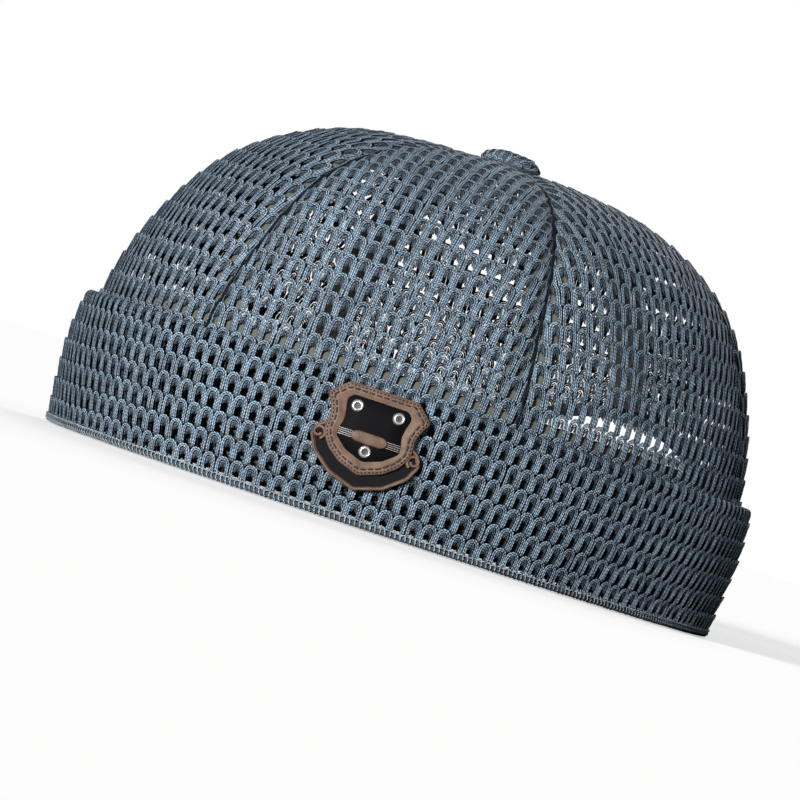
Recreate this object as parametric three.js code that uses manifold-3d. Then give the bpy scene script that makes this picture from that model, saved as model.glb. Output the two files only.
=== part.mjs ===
// Mesh skull cap: a brimless cap of coarse knit net with a wide turned-up cuff, a cloth sweatband
// inside, a webbing strap with a slider buckle across an arch at the back, and a leather badge.
// Millimetres, +Z up. The cap rests on the rim of its cuff, its front faces -Y and the wearer's
// left is +X. A turn is measured in degrees from the front towards the wearer's left.

import * as THREE from 'three';
import { TessellateModifier } from 'three/addons/modifiers/TessellateModifier.js';
import { mergeVertices } from 'three/addons/utils/BufferGeometryUtils.js';
import Module from 'manifold-3d';

const wasm = await Module();
wasm.setup();

// Clearance between pieces that are sewn together or rest on each other
const fit = 0.3;

// Crown, measured outside
const crownWidth = 172;
const crownLength = 200;
const crownHeight = 104.8;
const apexSetBack = 4.7;
const knitWall = 1.6;
const panelSeams = [0, 56, 118, 180, 242, 304];
const seamDip = 1.0;
const seamDipReach = 7;

// Outline of the crown from the rim to the apex, as shares of its half width and of its height
const crownOutline = [
  { radius: 1.0, height: 0.0 },
  { radius: 1.018, height: 0.273 },
  { radius: 0.954, height: 0.551 },
  { radius: 0.796, height: 0.796 },
  { radius: 0.545, height: 0.944 },
  { radius: 0.267, height: 0.993 },
  { radius: 0.0, height: 1.0 },
];

// Gaps of the net, pointed at both ends
const netPitchAcross = 20.5;
const netPitchAlong = 22.5;
const netGapWide = 14.5;
const netGapLong = 17.5;
const netMargin = 2.6;
const cuffPitchAcross = 25;
const cuffGapWide = 11;
const cuffGapLong = 13.5;

// Cuff: the net folded double and turned up, with a flange that turns in under the rim
const cuffHeight = 37;
const cuffWall = 2.8;
const cuffEase = 0.6;
const cuffFlange = 2.2;
const cuffHem = 1.2;
const cuffEndTurn = 132;

// Sweatband
const bandHeight = 38;
const bandWall = 1.2;

// Arch at the back, bound with a narrow tape
const archHalfWidth = 42;
const archSpring = 22;
const archTop = 52;
const bindingWidth = 1.6;
const bindingProud = 0.4;
const bindingWall = 1.8;

// Tapes over the seams, inside
const tapeWidth = 13;
const tapeWall = 0.6;
const tapeEase = 0.6;
const tapeShareOfPanel = 0.86;

// Covered button
const buttonDiameter = 17.8;
const buttonHeight = 4;
const apexHole = 4;

// Webbing strap, its anchor loop and the slider buckle
const webWidth = 24.5;
const webWall = 1.4;
const webMiddle = 16;
const webEase = 0.6;
const webTuck = 12;
const webTail = 8;
const bandEaseLength = 10;
const buckleMiddle = 21;
const buckleLength = 18;
const buckleRail = 2.25;
const bucklePlate = 1.6;
const buckleBar = 4;
const buckleBarSetIn = 2.5;
const buckleEndBar = 1.8;
const buckleSlot = 0.5;

// Badge on the cuff
const badgeTurn = 34;
const badgeMiddle = 22;
const badgeWidth = 29;
const badgeHeight = 26.4;
const badgeWall = 1.6;
const scrollProud = 0.8;
const plateWall = 0.6;
const barLength = 8;
const barHeight = 2.4;
const barWall = 0.9;
const rivetRadius = 1.6;
const rivetHeight = 0.9;

// Right half of each badge outline, from its top to its tip, as shares of half the badge
const shieldOutline = [
  { across: 0.62, up: 1.0 },
  { across: 0.93, up: 0.68 },
  { across: 0.79, up: 0.4 },
  { across: 0.74, up: 0.1 },
  { across: 0.9, up: 0.05 },
  { across: 1.0, up: -0.19 },
  { across: 0.86, up: -0.5 },
  { across: 0.5, up: -0.82 },
  { across: 0.0, up: -1.0 },
];
const scrollOutline = [
  { across: 0.0, up: -0.7 },
  { across: 0.4, up: -0.54 },
  { across: 0.63, up: -0.3 },
  { across: 0.72, up: -0.04 },
  { across: 0.88, up: 0.01 },
  { across: 0.96, up: -0.19 },
  { across: 0.82, up: -0.48 },
  { across: 0.48, up: -0.78 },
  { across: 0.0, up: -0.95 },
];
const plateOutline = [
  { across: 0.56, up: 0.74 },
  { across: 0.5, up: 0.32 },
  { across: 0.48, up: 0.05 },
  { across: 0.3, up: -0.3 },
  { across: 0.0, up: -0.42 },
];
const rivetPlaces = [
  { across: -0.37, up: 0.58 },
  { across: 0.37, up: 0.58 },
  { across: 0.0, up: -0.22 },
];
const barPlace = 0.06;

// Facets
const panelColumns = 6;
const lowRowShares = [0, 1 / 3, 2 / 3, 1];
const upperRows = 5;
const archFacets = 12;
const curveFacets = 6;
const bendFacet = 10;
const roundFacets = 16;
const webFacet = 3.5;
const webSteps = 3;
const stripFacets = 4;
const rivetFacets = 10;

// Levels that follow from the sizes above
const crownFoot = cuffFlange + fit;
const bandTop = crownFoot + bandHeight;
const bandFace = -(knitWall + fit);
const bandBack = bandFace - bandWall;
const webFace = -(knitWall + webEase);
const webBack = webFace - webWall;
const webCore = (webFace + webBack) / 2;
const cuffInner = cuffEase;
const cuffOuter = cuffEase + cuffWall;
const webFoot = webMiddle - webWidth / 2;
const fullTurn = 360;
const backTurn = 180;

const { degToRad, radToDeg, lerp, smoothstep } = THREE.MathUtils;

// The crown's outer skin

const outlineRows = crownOutline.map((row) => new THREE.Vector2(row.radius, row.height));
const outlineSpans = outlineRows.length - 1;
const belowRim = outlineRows[0].clone().multiplyScalar(2).sub(outlineRows[1]);
const pastApex = new THREE.Vector2(-outlineRows.at(-2).x, outlineRows.at(-2).y);
const outlineCurve = new THREE.SplineCurve([belowRim, ...outlineRows, pastApex]);

// A climb runs from 0 at the rim to 1 at the apex
function outlineAt(climb) {
  return outlineCurve.getPoint((1 + climb * outlineSpans) / (outlineSpans + 2));
}

function findClimb(isBelow) {
  let low = 0;
  let high = 1;
  for (let step = 0; step < 40; step += 1) {
    const middle = (low + high) / 2;
    if (isBelow(outlineAt(middle))) low = middle;
    else high = middle;
  }
  return (low + high) / 2;
}

function climbAt(height) {
  return findClimb((point) => point.y * crownHeight < height);
}

function crownSkin(turn, climb) {
  const { x: radius, y: height } = outlineAt(climb);
  const angle = degToRad(turn);
  return new THREE.Vector3(
    (crownWidth / 2) * radius * Math.sin(angle),
    -(crownLength / 2) * radius * Math.cos(angle) + apexSetBack * height ** 2,
    crownHeight * height,
  );
}

// Millimetres round the crown for one degree of turn
function arcOfDegree(turn, climb, out = 0) {
  const { x: radius } = outlineAt(climb);
  const angle = degToRad(turn);
  const halfWidth = (crownWidth / 2) * radius + out;
  const halfLength = (crownLength / 2) * radius + out;
  return degToRad(Math.hypot(halfWidth * Math.cos(angle), halfLength * Math.sin(angle)));
}

function turnAfter(start, arc, climb, out = 0) {
  const steps = 12;
  let turn = start;
  for (let step = 0; step < steps; step += 1) turn += arc / steps / arcOfDegree(turn, climb, out);
  return turn;
}

// The seams are drawn in a little above the arch and lie flat again at the apex
function dipAt(turn, climb) {
  const { x: radius, y: height } = outlineAt(climb);
  const wholeTurn = THREE.MathUtils.euclideanModulo(turn, fullTurn);
  const nearest = Math.min(...[...panelSeams, fullTurn].map((seam) => Math.abs(wholeTurn - seam)));
  const reach = nearest * arcOfDegree(turn, climb) / seamDipReach;
  const overArch = smoothstep(height * crownHeight, archTop, archTop + bandHeight / 2);
  const offApex = smoothstep(radius, apexHole / crownWidth * 4, 0.3);
  return seamDip * overArch * offApex * Math.exp(-(reach ** 2));
}

function crownPoint(turn, climb, out) {
  const round = crownSkin(turn + 0.5, climb).sub(crownSkin(turn - 0.5, climb));
  const up = crownSkin(turn, climb + 0.005).sub(crownSkin(turn, climb - 0.005));
  const outward = round.cross(up).normalize();
  return crownSkin(turn, climb).addScaledVector(outward, out - dipAt(turn, climb));
}

// The same skin near the rim, by height, with its offset level
function wallPoint(turn, height, out) {
  const angle = degToRad(turn);
  const outward = new THREE.Vector3(crownLength * Math.sin(angle), -crownWidth * Math.cos(angle), 0);
  const skin = crownSkin(turn, climbAt(height));
  skin.z = height;
  return skin.addScaledVector(outward.normalize(), out);
}

// Solids

function closedGeometry(positions, index) {
  const geometry = new THREE.BufferGeometry();
  geometry.setAttribute('position', new THREE.Float32BufferAttribute(positions, 3));
  geometry.setIndex(index);
  geometry.computeVertexNormals();
  return geometry;
}

function onlyPositions(geometry) {
  const plain = geometry.clone();
  plain.deleteAttribute('normal');
  plain.deleteAttribute('uv');
  return mergeVertices(plain);
}

function toManifold(geometry) {
  const merged = onlyPositions(geometry);
  return new wasm.Manifold(new wasm.Mesh({
    numProp: 3,
    vertProperties: new Float32Array(merged.attributes.position.array),
    triVerts: new Uint32Array(merged.index.array),
  }));
}

function fromManifold(solid) {
  const { vertProperties, triVerts } = solid.getMesh();
  return closedGeometry(Array.from(vertProperties), Array.from(triVerts));
}

function cutAway(geometry, cutters) {
  let solid = toManifold(geometry);
  for (const cutter of cutters) solid = solid.subtract(toManifold(cutter));
  return fromManifold(solid);
}

function joined(geometries) {
  const [first, ...others] = geometries.map(toManifold);
  return fromManifold(others.reduce((sum, next) => sum.add(next), first));
}

// A closed wall over a grid, from place(column, row, depth) with depth 0 inside and 1 outside
function gridWall(columns, rows, place) {
  const positions = [];
  for (const depth of [0, 1]) {
    for (const row of rows) {
      for (const column of columns) positions.push(...place(column, row, depth).toArray());
    }
  }
  const index = [];
  const at = (i, j, depth) => (depth * rows.length + j) * columns.length + i;
  const quad = (a, b, c, d) => index.push(a, b, c, a, c, d);
  const right = columns.length - 1;
  const top = rows.length - 1;
  for (let j = 0; j < top; j += 1) {
    for (let i = 0; i < right; i += 1) {
      quad(at(i, j, 1), at(i + 1, j, 1), at(i + 1, j + 1, 1), at(i, j + 1, 1));
      quad(at(i, j, 0), at(i, j + 1, 0), at(i + 1, j + 1, 0), at(i + 1, j, 0));
    }
    quad(at(0, j, 0), at(0, j, 1), at(0, j + 1, 1), at(0, j + 1, 0));
    quad(at(right, j, 0), at(right, j + 1, 0), at(right, j + 1, 1), at(right, j, 1));
  }
  for (let i = 0; i < right; i += 1) {
    quad(at(i, 0, 0), at(i + 1, 0, 0), at(i + 1, 0, 1), at(i, 0, 1));
    quad(at(i, top, 0), at(i, top, 1), at(i + 1, top, 1), at(i + 1, top, 0));
  }
  return closedGeometry(positions, index);
}

// A closed bar lofted through rings of points, each ring counter-clockwise as seen from its start
function loft(rings) {
  const count = rings[0].points.length;
  const positions = rings.flatMap((ring) => ring.points.flatMap((point) => point.toArray()));
  const index = [];
  for (let ring = 0; ring < rings.length - 1; ring += 1) {
    for (let side = 0; side < count; side += 1) {
      const a = ring * count + side;
      const b = ring * count + ((side + 1) % count);
      index.push(a, a + count, b + count, a, b + count, b);
    }
  }
  const last = (rings.length - 1) * count;
  for (const [a, b, c] of THREE.ShapeUtils.triangulateShape(rings[0].section, [])) {
    index.push(a, b, c, last + a, last + c, last + b);
  }
  return closedGeometry(positions, index);
}

function bend(geometry, place) {
  const bent = onlyPositions(geometry);
  const position = bent.attributes.position;
  for (let i = 0; i < position.count; i += 1) {
    position.setXYZ(i, ...place(position.getX(i), position.getY(i), position.getZ(i)).toArray());
  }
  bent.computeVertexNormals();
  return bent;
}

function finelyFaceted(geometry) {
  return new TessellateModifier(bendFacet, 12).modify(onlyPositions(geometry));
}

function polygon(points) {
  return new THREE.Shape(points.map(([x, y]) => new THREE.Vector2(x, y)));
}

function prism(shape, from, to, steps = 1) {
  const options = { depth: to - from, steps, bevelEnabled: false, curveSegments: curveFacets };
  return new THREE.ExtrudeGeometry(shape, options).translate(0, 0, from);
}

// Materials

function finish(color, roughness, metalness = 0) {
  return new THREE.MeshStandardMaterial({ color, roughness, metalness, side: THREE.DoubleSide });
}

const netYarn = finish(0x5a738c, 0.85);
const bandCloth = finish(0x777a70, 0.9);
const bindingCloth = finish(0x3a4450, 0.9);
const webbing = finish(0x17191c, 0.75);
const buckleResin = finish(0x1c1e21, 0.45);
const badgeLeather = finish(0x8a6650, 0.6);
const plateLacquer = finish(0x141414, 0.5);
const rivetSteel = finish(0xd8d8d8, 0.2, 1);

const cap = new THREE.Group();

function piece(name, geometry, material) {
  const mesh = new THREE.Mesh(geometry, material);
  mesh.name = name;
  cap.add(mesh);
  return mesh;
}

// Stations shared by the layers of the wall, so that their facets lie parallel

const seamEnds = [...panelSeams.slice(1), fullTurn];
const roundStations = panelSeams.flatMap((seam, panel) => (
  Array.from({ length: panelColumns }, (_, column) => lerp(seam, seamEnds[panel], column / panelColumns))
));

function stationsBetween(start, end) {
  const inside = [...roundStations.map((turn) => turn - fullTurn), ...roundStations]
    .filter((turn) => turn > start + 1 && turn < end - 1);
  return [start, ...inside, end];
}

const lowRows = lowRowShares.map((share) => lerp(crownFoot, bandTop, share));
const topClimb = findClimb((point) => point.x * crownWidth / 2 > apexHole);
const bandTopClimb = climbAt(bandTop);
const upperClimbs = Array.from({ length: upperRows }, (_, row) => (
  lerp(bandTopClimb, topClimb, (row + 1) / upperRows)
));

// Arch at the back, as it is seen from the front along Y, from the wearer's left foot over the top

const archRise = archTop - archSpring;
const archCurve = Array.from({ length: archFacets + 1 }, (_, facet) => {
  const angle = Math.PI * facet / archFacets;
  return new THREE.Vector2(archHalfWidth * Math.cos(angle), archSpring + archRise * Math.sin(angle));
});
const archStraight = [crownFoot, lerp(crownFoot, archSpring, 0.5)];
const archEdge = [
  ...archStraight.map((height) => new THREE.Vector2(archHalfWidth, height)),
  ...archCurve,
  ...archStraight.toReversed().map((height) => new THREE.Vector2(-archHalfWidth, height)),
];

function archCutter() {
  const under = [[-archHalfWidth, -crownFoot], [archHalfWidth, -crownFoot]];
  const edge = archEdge.map((point) => point.toArray());
  const cutter = prism(polygon([...under, ...edge]), 0, crownLength);
  return cutter.rotateX(Math.PI / 2).translate(0, crownLength + crownLength / 4, 0);
}

function insideArch(point, margin) {
  if (point.y < 0) return false;
  const across = Math.abs(point.x) / (archHalfWidth + margin);
  const up = Math.max(0, point.z - archSpring) / (archRise + margin);
  return Math.hypot(across, up) < 1;
}

// Crown panels with the gaps of the net

function gapCutter(centre, across, along, gapWide, gapLong) {
  const outward = across.clone().cross(along).normalize();
  const upright = outward.clone().cross(across).normalize();
  const depth = 2 * (knitWall + cuffWall);
  const [wide, long, point] = [gapWide / 2, gapLong / 2, gapWide / 4];
  const outline = polygon([
    [wide, point - long],
    [wide, long - point],
    [0, long],
    [-wide, long - point],
    [-wide, point - long],
    [0, -long],
  ]);
  const frame = new THREE.Matrix4().makeBasis(across.clone().normalize(), upright, outward);
  return prism(outline, -depth / 2, depth / 2).applyMatrix4(frame.setPosition(centre));
}

function climbAfter(turn, start, length) {
  const step = 0.002;
  let climb = start;
  let walked = 0;
  while (walked < length && climb < 1) {
    walked += crownSkin(turn, climb).distanceTo(crownSkin(turn, climb + step));
    climb += step;
  }
  return climb;
}

function panelGaps(start, end) {
  const middle = (start + end) / 2;
  const cutters = [];
  const firstRow = climbAfter(middle, climbAt(Math.max(bandTop, cuffHeight)), netMargin + netGapLong / 2);
  for (let climb = firstRow; climb < 1; climb = climbAfter(middle, climb, netPitchAlong)) {
    const tip = climbAfter(middle, climb, netGapLong / 2);
    const room = (end - start) * arcOfDegree(middle, tip) - 2 * netMargin;
    const count = Math.floor((room - netGapWide) / netPitchAcross) + 1;
    for (let column = 0; column < count && room > netGapWide; column += 1) {
      const arc = (column - (count - 1) / 2) * netPitchAcross;
      const turn = turnAfter(middle, arc, climb);
      const centre = crownPoint(turn, climb, -knitWall / 2);
      const across = crownSkin(turn + 1, climb).sub(crownSkin(turn - 1, climb));
      const along = crownSkin(turn, climb + 0.01).sub(crownSkin(turn, climb - 0.01));
      if (insideArch(centre, netMargin + netGapLong / 2)) continue;
      cutters.push(gapCutter(centre, across, along, netGapWide, netGapLong));
    }
  }
  return cutters;
}

panelSeams.forEach((start, panel) => {
  const end = seamEnds[panel];
  const columns = Array.from({ length: panelColumns + 1 }, (_, column) => column / panelColumns);
  const climbs = [...lowRows.map(climbAt), ...upperClimbs];
  const shell = gridWall(columns, climbs, (share, climb, depth) => {
    const trim = fit / 2 / arcOfDegree(lerp(start, end, share), climb);
    return crownPoint(lerp(start + trim, end - trim, share), climb, knitWall * (depth - 1));
  });
  const touchesArch = start === backTurn || end === backTurn;
  const cutters = [...panelGaps(start, end), ...(touchesArch ? [archCutter()] : [])];
  piece(`crown_panel_${panel + 1}`, cutAway(shell, cutters), netYarn);
});

// Seam tapes, narrowed where the panels run together at the apex

panelSeams.forEach((seam, tape) => {
  const overArch = upperClimbs.filter((climb) => climb > climbAt(archTop + bindingWidth));
  const climbs = seam === backTurn ? overArch : [climbAt(bandTop + tapeEase), ...upperClimbs];
  const halfWidthAt = (climb) => {
    const room = fullTurn / panelSeams.length * arcOfDegree(seam, climb);
    return Math.min(tapeWidth, room * tapeShareOfPanel) / 2;
  };
  const shell = gridWall([-1, 0, 1], climbs, (side, climb, depth) => {
    const turn = seam + side * halfWidthAt(climb) / arcOfDegree(seam, climb);
    return crownPoint(turn, climb, tapeWall * (depth - 1) - knitWall - tapeEase);
  });
  piece(`seam_tape_${tape + 1}`, shell, bandCloth);
});

// Covered button at the apex

const buttonProfile = [
  [0, 0],
  [0.9, 0],
  [1, 0.25],
  [0.93, 0.6],
  [0.72, 0.86],
  [0.4, 0.97],
  [0, 1],
].map(([radius, height]) => new THREE.Vector2(radius * buttonDiameter / 2, height * buttonHeight));
const button = piece(
  'top_button',
  onlyPositions(new THREE.LatheGeometry(buttonProfile, roundFacets).rotateX(Math.PI / 2)),
  netYarn,
);
button.position.set(0, apexSetBack, crownHeight + fit);

// Cuff with its gaps

function cuffSection() {
  const crest = cuffWall / 2;
  const between = lowRows.slice(1, -1);
  const points = [
    [bandBack, 0],
    [cuffOuter - cuffHem, 0],
    [cuffOuter, cuffHem],
    ...between.map((height) => [cuffOuter, height]),
    [cuffOuter, cuffHeight - crest],
    [cuffOuter - crest * (1 - Math.SQRT1_2), cuffHeight - crest * (1 - Math.SQRT1_2)],
    [cuffOuter - crest, cuffHeight],
    [cuffInner + crest * (1 - Math.SQRT1_2), cuffHeight - crest * (1 - Math.SQRT1_2)],
    [cuffInner, cuffHeight - crest],
    ...between.map((height) => [cuffInner, height]).reverse(),
    [cuffInner, cuffFlange],
    [bandBack, cuffFlange],
  ];
  return points.map(([out, height]) => new THREE.Vector2(out, height));
}

function cuffGaps() {
  const climb = climbAt(cuffHeight / 2);
  const rowPitch = (cuffHeight - cuffWall / 2 - cuffFlange) / 2;
  const cutters = [];
  for (const row of [0, 1]) {
    const height = cuffFlange + rowPitch * (row + 0.5);
    for (const side of [-1, 1]) {
      let turn = turnAfter(0, side * cuffPitchAcross / (row + 1), climb);
      while (Math.abs(turn) < cuffEndTurn - cuffGapWide / arcOfDegree(turn, climb)) {
        const centre = wallPoint(turn, height, (cuffInner + cuffOuter) / 2);
        const across = wallPoint(turn + 1, height, 0).sub(wallPoint(turn - 1, height, 0));
        const fromBadge = Math.abs(turn - badgeTurn) * arcOfDegree(turn, climb);
        const upright = new THREE.Vector3(0, 0, 1);
        if (fromBadge > (badgeWidth + cuffGapWide) / 2) {
          cutters.push(gapCutter(centre, across, upright, cuffGapWide, cuffGapLong));
        }
        turn = turnAfter(turn, side * cuffPitchAcross, climb);
      }
    }
  }
  return cutters;
}

const section = cuffSection();
const cuffRings = stationsBetween(-cuffEndTurn, cuffEndTurn).map((turn) => ({
  section,
  points: section.map((point) => wallPoint(turn, point.y, point.x)),
}));
piece('cuff', cutAway(loft(cuffRings), cuffGaps()), netYarn);

// Sweatband, let in at both ends so that the webbing tucks behind it

const webClimb = climbAt(webMiddle);
const archShare = archHalfWidth / (crownWidth / 2 * outlineAt(webClimb).x);
const bandEndTurn = backTurn - radToDeg(Math.asin(archShare));
const archArc = (backTurn - bandEndTurn) * arcOfDegree((backTurn + bandEndTurn) / 2, webClimb);
const easeStart = webTuck + webFacet / 2;
const easeTurns = [0, easeStart, easeStart + bandEaseLength / 2, easeStart + bandEaseLength]
  .map((arc) => turnAfter(bandEndTurn, -arc, webClimb));
const bandTurns = [
  ...easeTurns.map((turn) => -turn),
  ...stationsBetween(-easeTurns.at(-1), easeTurns.at(-1)).slice(1, -1),
  ...easeTurns.toReversed(),
];

function bandInset(turn) {
  const fromEnd = (bandEndTurn - Math.abs(turn)) * arcOfDegree(turn, webClimb);
  const eased = smoothstep(fromEnd, easeStart, easeStart + bandEaseLength);
  return (webWall + 2 * webEase - fit) * (1 - eased);
}

const bandShell = gridWall(bandTurns, lowRows, (turn, height, depth) => (
  wallPoint(turn, height, bandFace - bandWall * (1 - depth) - bandInset(turn))
));
piece('sweatband', bandShell, bandCloth);

// Binding round the edge of the arch

const bindingSection = [
  [fit, bindingProud - bindingWall],
  [fit + bindingWidth, bindingProud - bindingWall],
  [fit + bindingWidth, bindingProud],
  [fit, bindingProud],
].map(([inset, out]) => new THREE.Vector2(inset, out));
const bindingRings = archEdge.map((point, station) => {
  const before = archEdge[Math.max(station - 1, 0)];
  const after = archEdge[Math.min(station + 1, archEdge.length - 1)];
  const travel = after.clone().sub(before).normalize();
  const points = bindingSection.map(({ x: inset, y: out }) => {
    const across = point.x - travel.y * inset;
    const height = point.y + travel.x * inset;
    const climb = climbAt(height);
    const share = across / (crownWidth / 2 * outlineAt(climb).x);
    return crownPoint(backTurn - radToDeg(Math.asin(share)), climb, out);
  });
  return { section: bindingSection, points };
});
piece('arch_binding', loft(bindingRings), bindingCloth);

// Webbing and buckle, drawn along the back of the cap: along is positive to the wearer's left

function alongBack(along, out, height) {
  return wallPoint(turnAfter(backTurn, -along, webClimb), height, out);
}

function slab(alongFrom, alongTo, outFrom, outTo) {
  return polygon([[alongFrom, outFrom], [alongTo, outFrom], [alongTo, outTo], [alongFrom, outTo]]);
}

const buckleStart = buckleMiddle - buckleLength / 2;
const buckleEnd = buckleMiddle + buckleLength / 2;
const endBarMiddle = buckleEnd - buckleEndBar / 2;
const loopInside = buckleEndBar / 2 + fit;
const loopOutside = loopInside + webWall;
const barStart = buckleStart + buckleBarSetIn;
const barEnd = barStart + buckleBar;
const barFoot = webFace + buckleSlot;
const barCrest = barFoot + buckleEndBar;
const plateCrest = webBack - buckleSlot;
const plateFoot = plateCrest - bucklePlate;
const railFoot = webFoot - buckleSlot - buckleRail;
const railCrest = webFoot + webWidth + buckleSlot + buckleRail;
const tailCore = webCore + loopOutside + fit + webWall / 2;

function webOutline(start, end, coreAt) {
  const count = Math.ceil((end - start) / webFacet);
  const core = Array.from({ length: count + 1 }, (_, step) => {
    const along = lerp(start, end, step / count);
    return new THREE.Vector2(along, coreAt(along));
  });
  const side = (offset) => core.map((point, step) => {
    const travel = core[Math.min(step + 1, count)].clone().sub(core[Math.max(step - 1, 0)]).normalize();
    return [point.x - travel.y * offset, point.y + travel.x * offset];
  });
  return polygon([...side(-webWall / 2), ...side(webWall / 2).toReversed()]);
}

const strapShape = webOutline(-archArc - webTuck, buckleEnd + webTail, (along) => (
  lerp(webCore, tailCore, smoothstep(along, barEnd, endBarMiddle - loopOutside))
));
const strap = bend(prism(strapShape, webFoot, webFoot + webWidth, webSteps), alongBack);
piece('back_strap', strap, webbing);

// The anchor is a strip sewn into a loop round the buckle's end bar
const loopMouth = Math.asin(webWall / 2 / loopOutside);
const stripStart = endBarMiddle + Math.hypot(loopOutside, webWall / 2);
const stripAlong = Array.from({ length: stripFacets }, (_, facet) => (
  lerp(stripStart, archArc + webTuck, (facet + 1) / stripFacets)
));
const anchorShape = new THREE.Shape();
anchorShape.absarc(endBarMiddle, webCore, loopOutside, loopMouth, 2 * Math.PI - loopMouth);
for (const along of stripAlong) anchorShape.lineTo(along, webBack);
for (const along of stripAlong.toReversed()) anchorShape.lineTo(along, webFace);
anchorShape.holes.push(new THREE.Path().absarc(endBarMiddle, webCore, loopInside, 0, Math.PI * 2));
const anchor = prism(anchorShape, webFoot, webFoot + webWidth, webSteps);
piece('strap_anchor', bend(anchor, alongBack), webbing);

const buckleBlocks = [
  [slab(buckleStart, endBarMiddle - loopOutside - fit, plateFoot, plateCrest), railFoot, railCrest],
  [slab(barStart, barEnd, barFoot, barCrest), railFoot, railCrest],
  [
    new THREE.Shape().absarc(endBarMiddle, webCore, buckleEndBar / 2, 0, Math.PI * 2),
    railFoot,
    railCrest,
  ],
  [slab(buckleStart, buckleEnd, plateFoot, barCrest), railFoot, railFoot + buckleRail],
  [slab(buckleStart, buckleEnd, plateFoot, barCrest), railCrest - buckleRail, railCrest],
];
const buckle = joined(buckleBlocks.map(([shape, from, to]) => prism(shape, from, to)));
piece('slider_buckle', bend(finelyFaceted(buckle), alongBack), buckleResin);

// Badge, bent to the outside of the cuff

const badgeSeat = cuffOuter + fit;
const badgeClimb = climbAt(badgeMiddle);

function onCuff(across, up, out) {
  return wallPoint(turnAfter(badgeTurn, across, badgeClimb, badgeSeat), badgeMiddle + up, badgeSeat + out);
}

function badgeShape(rows) {
  const right = rows.map(({ across, up }) => [across * badgeWidth / 2, up * badgeHeight / 2]);
  const left = right.filter(([across]) => across > 0).map(([across, up]) => [-across, up]);
  return polygon([...left, ...right.toReversed()]);
}

const scrollFrom = badgeWall / 2;
const plateFrom = badgeWall + fit;
const trimFrom = plateFrom + plateWall + fit;
const shieldSolid = joined([
  prism(badgeShape(shieldOutline), 0, badgeWall),
  prism(badgeShape(scrollOutline), scrollFrom, badgeWall + scrollProud),
]);
piece('badge_shield', bend(finelyFaceted(shieldSolid), onCuff), badgeLeather);

const plateSolid = prism(badgeShape(plateOutline), plateFrom, plateFrom + plateWall);
piece('badge_plate', bend(finelyFaceted(plateSolid), onCuff), plateLacquer);

const barShape = polygon([
  [-barLength / 2, -barHeight / 2],
  [barLength / 2, -barHeight / 2],
  [barLength / 2, barHeight / 2],
  [-barLength / 2, barHeight / 2],
]);
const barSolid = prism(barShape, trimFrom, trimFrom + barWall).translate(0, barPlace * badgeHeight / 2, 0);
piece('badge_bar', bend(finelyFaceted(barSolid), onCuff), badgeLeather);

const rivetProfile = [
  [0, 0],
  [1, 0],
  [1, 0.3],
  [0.6, 0.85],
  [0, 1],
].map(([radius, height]) => new THREE.Vector2(radius * rivetRadius, height * rivetHeight));
const rivetGeometry = onlyPositions(new THREE.LatheGeometry(rivetProfile, rivetFacets));
rivetPlaces.forEach(({ across, up }, rivet) => {
  const [x, y] = [across * badgeWidth / 2, up * badgeHeight / 2];
  const seat = onCuff(x, y, trimFrom);
  const outward = onCuff(x, y, trimFrom + 1).sub(seat).normalize();
  const mesh = piece(`badge_rivet_${rivet + 1}`, rivetGeometry, rivetSteel);
  mesh.position.copy(seat);
  mesh.quaternion.setFromUnitVectors(new THREE.Vector3(0, 1, 0), outward);
});

// The origin goes to the middle of the cap's box, on the surface under it

const middle = new THREE.Box3().setFromObject(cap).getCenter(new THREE.Vector3());
cap.position.set(-middle.x, -middle.y, 0);

export default cap;
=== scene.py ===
# Mesh skull cap: a brimless cap of coarse knit net, with its edge turned up into a wide cuff.
# It is worn low on the back of the head, and a strap across an arch at the back sets its size.
# Everything is in metres. The front faces -Y, the wearer's left is +X and the rim rests on the floor.

import math

import bmesh
import bpy
import numpy as np
from mathutils import Matrix, Vector


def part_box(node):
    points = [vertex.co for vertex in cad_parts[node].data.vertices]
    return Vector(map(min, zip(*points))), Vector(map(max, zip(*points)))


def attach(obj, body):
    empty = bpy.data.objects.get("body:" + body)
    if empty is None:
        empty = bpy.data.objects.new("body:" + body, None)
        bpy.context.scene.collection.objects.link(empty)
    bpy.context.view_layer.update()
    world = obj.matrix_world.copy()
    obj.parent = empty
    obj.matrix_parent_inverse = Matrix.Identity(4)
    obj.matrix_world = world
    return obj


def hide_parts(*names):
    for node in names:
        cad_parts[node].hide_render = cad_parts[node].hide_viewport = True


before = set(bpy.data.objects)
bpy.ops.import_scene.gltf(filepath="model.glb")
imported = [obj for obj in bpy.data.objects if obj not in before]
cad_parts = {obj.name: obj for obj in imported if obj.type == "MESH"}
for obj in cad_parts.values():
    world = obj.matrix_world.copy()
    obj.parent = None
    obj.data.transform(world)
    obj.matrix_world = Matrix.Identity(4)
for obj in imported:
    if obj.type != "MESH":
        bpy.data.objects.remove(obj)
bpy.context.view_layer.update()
scene = bpy.context.scene
MM = 0.001


# Camera, floor and light
# The photograph was taken with a long lens from the wearer's front left, and the cap leans to the
# right in it. The light is soft and comes mostly from the upper left, over a white ground.

CAMERA_TURN = math.radians(35.9)
CAMERA_RISE = math.radians(-1.0)
CAMERA_LEAN = math.radians(18.4)
CAMERA_DISTANCE = 1.5
CAMERA_LENS = 248.9
CAMERA_SHIFT = (-0.046, -0.057)
CAMERA_AIM = Vector((0.0, 0.0018, 0.050))

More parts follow.
